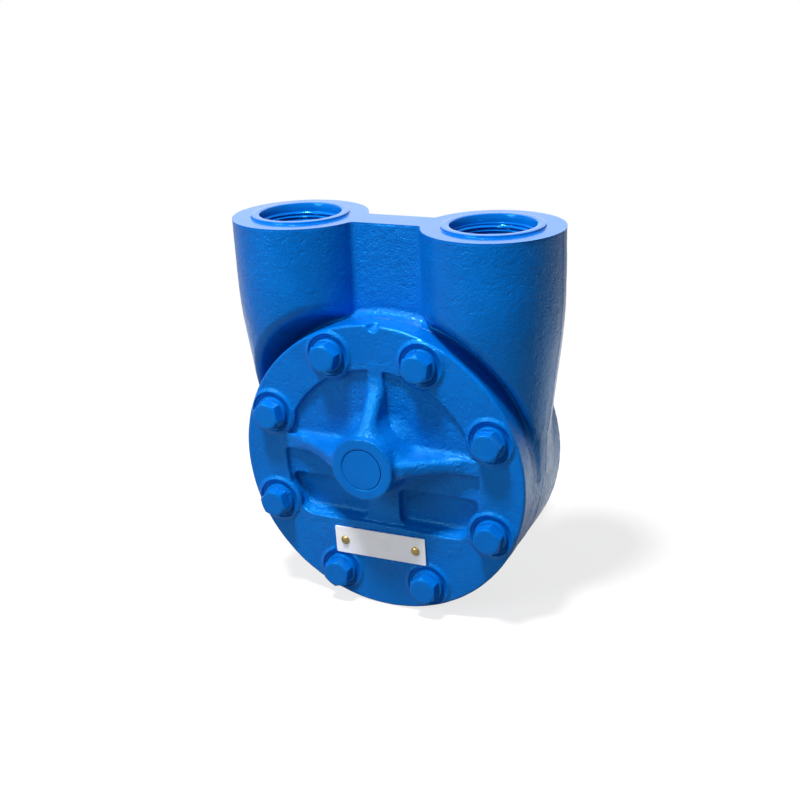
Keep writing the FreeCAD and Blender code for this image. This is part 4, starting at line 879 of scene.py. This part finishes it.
class GEARPUMP_OT_port_rings(bpy.types.Operator):
    """Turns the raised ring, the mouth and the thread of both ports"""

    bl_idname = "gearpump.port_rings"
    bl_label = "Port Rings"

    def execute(self, context):
        size = context.scene.gear_pump_body
        top = size.port_top + size.lip_height
        mouth_floor = top - size.mouth_depth
        rows = 8 * round(size.thread_length / size.thread_pitch)
        for name, x, start in (("left", -size.port_x, 0.2), ("right", size.port_x, 0.6)):
            lip, mouth, seat = size.lip_radius, size.mouth_radius, size.port_top
            profile = [(lip - 0.4, mouth_floor - 1), (lip - 0.4, seat - 0.6),
                       (lip + 0.5, seat - 0.02), (lip + 0.15, seat + 0.12), (lip, seat + 0.4),
                       (lip, top - 0.35), (lip - 0.1, top - 0.1), (lip - 0.35, top),
                       (mouth + 0.9, top), (mouth + 0.3, top - 0.25), (mouth, top - 0.8),
                       (mouth, mouth_floor)]
            thread_start = len(profile)
            for row in range(rows + 1):
                profile.append((size.thread_radius, mouth_floor - size.thread_length * row / rows))
            end = mouth_floor - size.thread_length
            bore, outside = DRILL_RADIUS + 0.1, THREAD_ROOM_RADIUS - 0.1
            profile += [(bore, end - 0.8), (bore, end - 1.6), (outside, end - 1.6),
                        (outside, mouth_floor - 1)]
            ring = turned(f"port_ring_{name}", profile, (x, -size.port_y, 0), (0, 0, 1),
                          THREAD_COLUMNS)
            cut_thread(ring, size, thread_start, rows, x, start)
            crease(ring, 32)
            dress(ring, "pump", "casting_paint")
        return {"FINISHED"}


def paint_pin_end():
    """The coat of paint on the end of the idler pin."""
    radius, front = PIN_BOX[1].x, PIN_BOX[0].y
    profile = [(0.01, front - 0.02), (radius + 0.02, front - 0.02), (radius + 0.1, front + 0.06),
               (radius + 0.1, front + 0.85), (0.01, front + 0.85)]
    coat = turned("pin_paint", profile, (0, 0, PIN_HEIGHT), (0, 1, 0), closed=False)
    crease(coat, 25)
    dress(coat, "pump", "casting_paint")


class GEARPUMP_OT_cover(bpy.types.Operator):
    """Skins the front cover with its ribs, pockets and spotfaces"""

    bl_idname = "gearpump.cover"
    bl_label = "Front Cover"

    def execute(self, context):
        size = context.scene.gear_pump_cover
        bolts = context.scene.gear_pump_fasteners
        cover = skin("cover_casting", cover_solid, COVER_BOX[0], COVER_BOX[1], size.grid)
        x, y, z = points_of(cover)
        pin = np.hypot(x, z - PIN_HEIGHT)
        axis = bolt_distance(x, z, bolts.bolt_circle, bolts.bolts)
        cast = soft_step(COVER_BACK - y, 0.6, 1.6)
        cast *= 1 - (pin < size.boss_radius - 0.5) * (y < COVER_BOX[0].y + 1.2)
        cast *= 1 - (pin < PIN_BOX[1].x + 0.6)
        cast *= soft_step(axis, size.spot_radius - 0.1, size.spot_radius + 0.6)
        cast *= 1 - 0.5 * soft_step(np.hypot(x, z), size.recess_radius, size.recess_radius + 8)
        cast_surface(cover, cast)
        dress(cover, "pump", "casting_paint", "front_cover")
        paint_pin_end()
        return {"FINISHED"}


def hexagon_head(width, height, segments=96):
    """Points and faces of a chamfered hexagon head from its seat outwards, in mm."""
    apothem = width / 2
    chamfer = apothem * 0.97
    angles = [2 * math.pi * n / segments for n in range(segments)]
    reach = [apothem / math.cos((a + math.pi / 6) % (math.pi / 3) - math.pi / 6) for a in angles]
    shoulder = [height - max(r - chamfer, 0) * math.tan(math.radians(28)) for r in reach]
    rings = [
        [(r * 0.97, 0.0) for r in reach],
        [(r, 0.25) for r in reach],
        [(r, s - 0.45) for r, s in zip(reach, shoulder)],
        [(r - 0.12, s - 0.12) for r, s in zip(reach, shoulder)],
        [(r - 0.5, s + 0.08) for r, s in zip(reach, shoulder)],
        [(min(r - 0.5, chamfer) - 0.25, height - 0.05) for r in reach],
        [(chamfer - 1.1, height)] * segments,
        [(chamfer - 3.2, height - 0.06)] * segments,
    ]
    points = [(radius * math.cos(angle), radius * math.sin(angle), rise)
              for row in rings for angle, (radius, rise) in zip(angles, row)]
    faces = strips(len(rings), segments)
    last = len(points) - segments
    points += [(0, 0, height - 0.08), (0, 0, 0.0)]
    for column in range(segments):
        beyond = (column + 1) % segments
        faces.append((last + column, last + beyond, len(points) - 2))
        faces.append((beyond, column, len(points) - 1))
    return points, faces


def make_bolt(size, number, place, turn):
    seat = WASHER_BOX[0].y
    points, faces = hexagon_head(size.across_flats, size.head_height)
    facing = Matrix.Rotation(math.radians(90), 3, "X") @ Matrix.Rotation(turn, 3, "Z")
    spots = [facing @ Vector(point) + place + Vector((0, seat, 0)) for point in points]
    head = mesh_object(f"cover_bolt_{number}", [spot * MM for spot in spots], faces)
    tip = BOLT_BOX[1].y
    shank = turned("shank", [(0.01, seat - 1), (size.shank_radius, seat - 1),
                             (size.shank_radius, tip - 1.2), (size.shank_radius - 1.0, tip),
                             (0.01, tip)], place, (0, 1, 0), 32, closed=False)
    with bpy.context.temp_override(active_object=head, selected_editable_objects=[head, shank]):
        bpy.ops.object.join()
    crease(head, 40)
    dress(head, "pump", "bolt_paint", "cover_bolts")


def make_washer(size, number, place, turn):
    """A split washer: a square section that runs almost once round."""
    back, front = WASHER_BOX[1].y, WASHER_BOX[0].y
    inner, outer = size.shank_radius + 0.3, size.washer_radius
    slit = size.washer_slit / outer
    steps = 72
    section = [(inner, front), (outer - 0.4, front), (outer - 0.1, front + 0.15),
               (outer, front + 0.5), (outer, back - 0.3), (outer - 0.3, back), (inner, back)]
    points = []
    for step in range(steps + 1):
        angle = turn + slit / 2 + (2 * math.pi - slit) * step / steps
        for radius, along in section:
            spot = Vector((radius * math.cos(angle), along, radius * math.sin(angle)))
            points.append((spot + place) * MM)
    count = len(section)
    faces = strips(steps + 1, count)
    faces.append(range(count))
    faces.append(range(len(points) - 1, steps * count - 1, -1))
    ring = mesh_object(f"lock_washer_{number}", points, faces)
    crease(ring, 40)
    dress(ring, "pump", "bolt_paint", "lock_washers")


class GEARPUMP_OT_bolts(bpy.types.Operator):
    """Places the painted hexagon bolts and their split washers round the cover"""

    bl_idname = "gearpump.bolts"
    bl_label = "Cover Bolts"

    def execute(self, context):
        size = context.scene.gear_pump_fasteners
        turns = np.random.default_rng(7).uniform(0, math.pi / 3, size.bolts)
        for index in range(size.bolts):
            angle = 2 * math.pi * (index + 0.5) / size.bolts
            place = Vector((size.bolt_circle * math.cos(angle), 0,
                            size.bolt_circle * math.sin(angle)))
            make_bolt(size, index + 1, place, turns[index])
            make_washer(size, index + 1, place, 1.7 * index)
        return {"FINISHED"}


def make_plate(size, centre, tilt):
    work = bmesh.new()
    bmesh.ops.create_cube(work, size=1)
    thick = PLATE_BOX[1].y - PLATE_BOX[0].y
    bmesh.ops.scale(work, vec=(size.plate_width * MM, thick * MM, size.plate_height * MM),
                    verts=work.verts)
    upright = [edge for edge in work.edges
               if abs(edge.verts[0].co.y - edge.verts[1].co.y) > 0.5 * thick * MM]
    bmesh.ops.bevel(work, geom=upright, offset=0.8 * MM, segments=4, affect="EDGES",
                    profile=0.5)
    mesh = bpy.data.meshes.new("name_plate")
    work.to_mesh(mesh)
    work.free()
    mesh.transform((Matrix.Translation(centre * MM) @ tilt.to_4x4()))
    plate = bpy.data.objects.new("name_plate", mesh)
    bpy.context.scene.collection.objects.link(plate)
    soften = plate.modifiers.new("edge", "BEVEL")
    soften.width = 0.15 * MM
    soften.segments = 2
    crease(plate, 30)
    dress(plate, "pump", "plate_metal", "nameplate")


def make_screw(size, name, place):
    rise = size.screw_height
    dome = [(0.01, -rise), (0.9, -rise + 0.05), (1.7, -rise + 0.22), (2.4, -rise + 0.6),
            (size.screw_radius - 0.1, -0.45), (size.screw_radius, -0.2), (size.screw_radius, 0.0),
            (1.6, 0.0), (1.6, 4.6), (0.01, 4.8)]
    screw = turned(f"plate_screw_{name}", dome, place, (0, 1, 0), 40, closed=False)
    crease(screw, 50)
    dress(screw, "pump", "screw_brass", "nameplate_screws")


class GEARPUMP_OT_nameplate(bpy.types.Operator):
    """Makes the bare nameplate and its two drive screws"""

    bl_idname = "gearpump.nameplate"
    bl_label = "Nameplate"

    def execute(self, context):
        size = context.scene.gear_pump_fasteners
        centre = (PLATE_BOX[0] + PLATE_BOX[1]) / 2
        tilt = Matrix.Rotation(-size.plate_tilt, 3, "Y")
        make_plate(size, centre, tilt)
        for name, side in (("left", -1), ("right", 1)):
            place = tilt @ Vector((side * size.screw_offset, 0, 0)) + centre
            place.y = PLATE_BOX[0].y
            make_screw(size, name, place)
        return {"FINISHED"}


class GEARPUMP_OT_bearing_housing(bpy.types.Operator):
    """Turns the cast bearing housing at the back"""

    bl_idname = "gearpump.bearing_housing"
    bl_label = "Bearing Housing"

    def execute(self, context):
        housing = skin("housing_casting", housing_solid, HOUSING_BOX[0], HOUSING_BOX[1], 0.8)
        x, y, z = points_of(housing)
        ring = np.hypot(x, z)
        front = HOUSING_BOX[0].y
        cast = soft_step(ring, 27.5, 28.5) * soft_step(y, front + 0.5, front + 1.5)
        cast *= soft_step(HOUSING_BOX[1].y - y, 0.5, 1.5)
        cast_surface(housing, cast)
        dress(housing, "pump", "casting_paint", "bearing_housing")
        return {"FINISHED"}


def housing_solid(x, y, z):
    """The bearing housing: a flange, a barrel and the bores for seal, bearing and dust seal."""
    ring = np.hypot(x, z)
    front, end = HOUSING_BOX[0].y, HOUSING_BOX[1].y
    flange = between(y, front, front + HOUSING_FLANGE)
    flange = rounded_common(ring - HOUSING_BOX[1].x, flange, 1.2)
    barrel = rounded_common(ring - HOUSING_BARREL, between(y, front, end), 1.2)
    shape = rounded_join(flange, barrel, 3.0)
    for radius, start, stop in HOUSING_BORES:
        shape = cut(shape, common(ring - radius, between(y, front + start, front + stop)))
    hole = np.hypot(np.abs(x) - HOUSING_SCREW_OFFSET, np.abs(z) - HOUSING_SCREW_OFFSET)
    return cut(shape, hole - HOUSING_SCREW)


def make_floor(size, height):
    reach = 6.0
    corners = [(-reach, -reach, height), (reach, -reach, height),
               (reach, reach, height), (-reach, reach, height)]
    floor = mesh_object("floor", corners, [(0, 1, 2, 3)])
    floor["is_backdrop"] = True
    tree, shader, place = material("floor_card", Roughness=0.9, Specular_IOR_Level=0.1)
    tone = spread(tree, noise(tree, place, 3.0), 0.3, 0.7)
    colour = tuple(size.floor_colour)
    tree.links.new(blend_colours(tree, tone, colour, tuple(0.99 * c for c in colour)),
                   shader.inputs["Base Color"])
    path = node(tree, "ShaderNodeLightPath")
    side = node(tree, "ShaderNodeSeparateXYZ", inputs={0: place}).outputs["Y"]
    away = node(tree, "ShaderNodeVectorMath", operation="LENGTH", inputs={0: place})
    away = away.outputs["Value"]
    # Painted reflection: for glossy rays only, the floor glows behind the pump, strongest near it,
    # so that the paint's upward faces reflect more white. Camera rays see the even white of
    # floor_white.
    seen = times(tree, spread(tree, side, -0.05, 0.15),
                      spread(tree, away, 0.3, 0.8, 1.3, 0.4))
    seen = times(tree, seen, path.outputs["Is Glossy Ray"])
    seen = arithmetic(tree, "MAXIMUM", seen, path.outputs["Is Camera Ray"])
    seen = times(tree, seen, size.floor_white)
    glow = node(tree, "ShaderNodeEmission", inputs={"Strength": seen})
    near = node(tree, "ShaderNodeAddShader", inputs={0: shader.outputs[0], 1: glow.outputs[0]})
    share = spread(tree, away, 0.25, 0.55)
    share = times(tree, share, path.outputs["Is Camera Ray"])
    white = node(tree, "ShaderNodeEmission", inputs={"Strength": 1.0})
    card = node(tree, "ShaderNodeMixShader", inputs={0: share, 1: near.outputs[0],
                                                     2: white.outputs[0]})
    tree.links.new(card.outputs[0], tree.nodes["Material Output"].inputs["Surface"])
    floor.data.materials.append(finish_of("floor_card"))


def make_sky(scene, size):
    world = bpy.data.worlds.new("studio")
    scene.world = world
    world.use_nodes = True
    tree = world.node_tree
    ambient = tree.nodes["Background"]
    ambient.inputs["Color"].default_value = (1, 1, 1, 1)
    ambient.inputs["Strength"].default_value = size.sky_light
    white = node(tree, "ShaderNodeBackground", inputs={"Color": (1, 1, 1, 1), "Strength": 1.0})
    path = node(tree, "ShaderNodeLightPath")
    mirrored = times(tree, path.outputs["Is Glossy Ray"], 0.2)
    seen = arithmetic(tree, "MAXIMUM", mirrored, path.outputs["Is Camera Ray"])
    mix = node(tree, "ShaderNodeMixShader",
               inputs={0: seen, 1: ambient.outputs[0], 2: white.outputs[0]})
    tree.links.new(mix.outputs[0], tree.nodes["World Output"].inputs["Surface"])


def make_lamp(name, place, width, power):
    light = bpy.data.lights.new(name, "AREA")
    light.energy = power
    light.shape = "DISK"
    light.size = width
    lamp = bpy.data.objects.new(name, light)
    lamp.visible_camera = False
    lamp.location = place
    lamp.rotation_euler = (-Vector(place)).to_track_quat("-Z", "Y").to_euler()
    bpy.context.scene.collection.objects.link(lamp)


def make_camera(scene, size):
    view = bpy.data.cameras.new("picture")
    view.lens = size.lens
    view.sensor_width = 36
    view.clip_start = 0.01
    right = Vector(size.camera_right).normalized()
    back = right.cross(Vector(size.camera_up)).normalized()
    up = back.cross(right)
    camera = bpy.data.objects.new("picture", view)
    turn = Matrix((right, up, back)).transposed().to_4x4()
    camera.matrix_world = Matrix.Translation(Vector(size.camera_place)) @ turn
    scene.collection.objects.link(camera)
    scene.camera = camera


class GEARPUMP_OT_stage(bpy.types.Operator):
    """Sets the pale floor, the soft light and the camera at the picture's angle"""

    bl_idname = "gearpump.stage"
    bl_label = "Stage"

    def execute(self, context):
        size = context.scene.gear_pump_stage
        scene = context.scene
        scene.view_settings.view_transform = "Standard"
        make_floor(size, min(CAD_BOX[0][2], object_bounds()[0][2]))
        make_sky(scene, size)
        make_lamp("key_light", (-0.10, -0.46, 1.24), 0.22, 25.0)
        make_lamp("front_light", (-0.6, -1.2, 0.7), 0.7, 7.0)
        make_lamp("back_light", (-0.45, 1.25, 0.42), 1.2, 3.4)
        make_camera(scene, size)
        return {"FINISHED"}


class VIEW3D_PT_gear_pump(bpy.types.Panel):
    """Lists the steps that dress the pump"""

    bl_label = "Gear Pump"
    bl_space_type = "VIEW_3D"
    bl_region_type = "UI"
    bl_category = "Gear Pump"

    def draw(self, context):
        for step in STEPS:
            self.layout.operator(step.bl_idname)


STEPS = (
    GEARPUMP_OT_finishes,
    GEARPUMP_OT_body,
    GEARPUMP_OT_port_rings,
    GEARPUMP_OT_cover,
    GEARPUMP_OT_bolts,
    GEARPUMP_OT_nameplate,
    GEARPUMP_OT_bearing_housing,
    GEARPUMP_OT_stage,
)
SETTINGS = {
    "gear_pump_body": GearPumpBodySettings,
    "gear_pump_cover": GearPumpCoverSettings,
    "gear_pump_fasteners": GearPumpFastenerSettings,
    "gear_pump_finish": GearPumpFinishSettings,
    "gear_pump_stage": GearPumpStageSettings,
}


CLASSES = (*SETTINGS.values(), *STEPS, VIEW3D_PT_gear_pump)


def register():
    for kind in CLASSES:
        bpy.utils.register_class(kind)
    for name, group in SETTINGS.items():
        setattr(bpy.types.Scene, name, PointerProperty(type=group))


def unregister():
    for name in SETTINGS:
        delattr(bpy.types.Scene, name)
    for kind in reversed(CLASSES):
        bpy.utils.unregister_class(kind)


def main():
    register()
    bpy.ops.gearpump.finishes()
    bpy.ops.gearpump.body()
    bpy.ops.gearpump.port_rings()
    bpy.ops.gearpump.cover()
    bpy.ops.gearpump.bolts()
    bpy.ops.gearpump.nameplate()
    bpy.ops.gearpump.bearing_housing()
    bpy.ops.gearpump.stage()


if __name__ == "__main__":
    main()
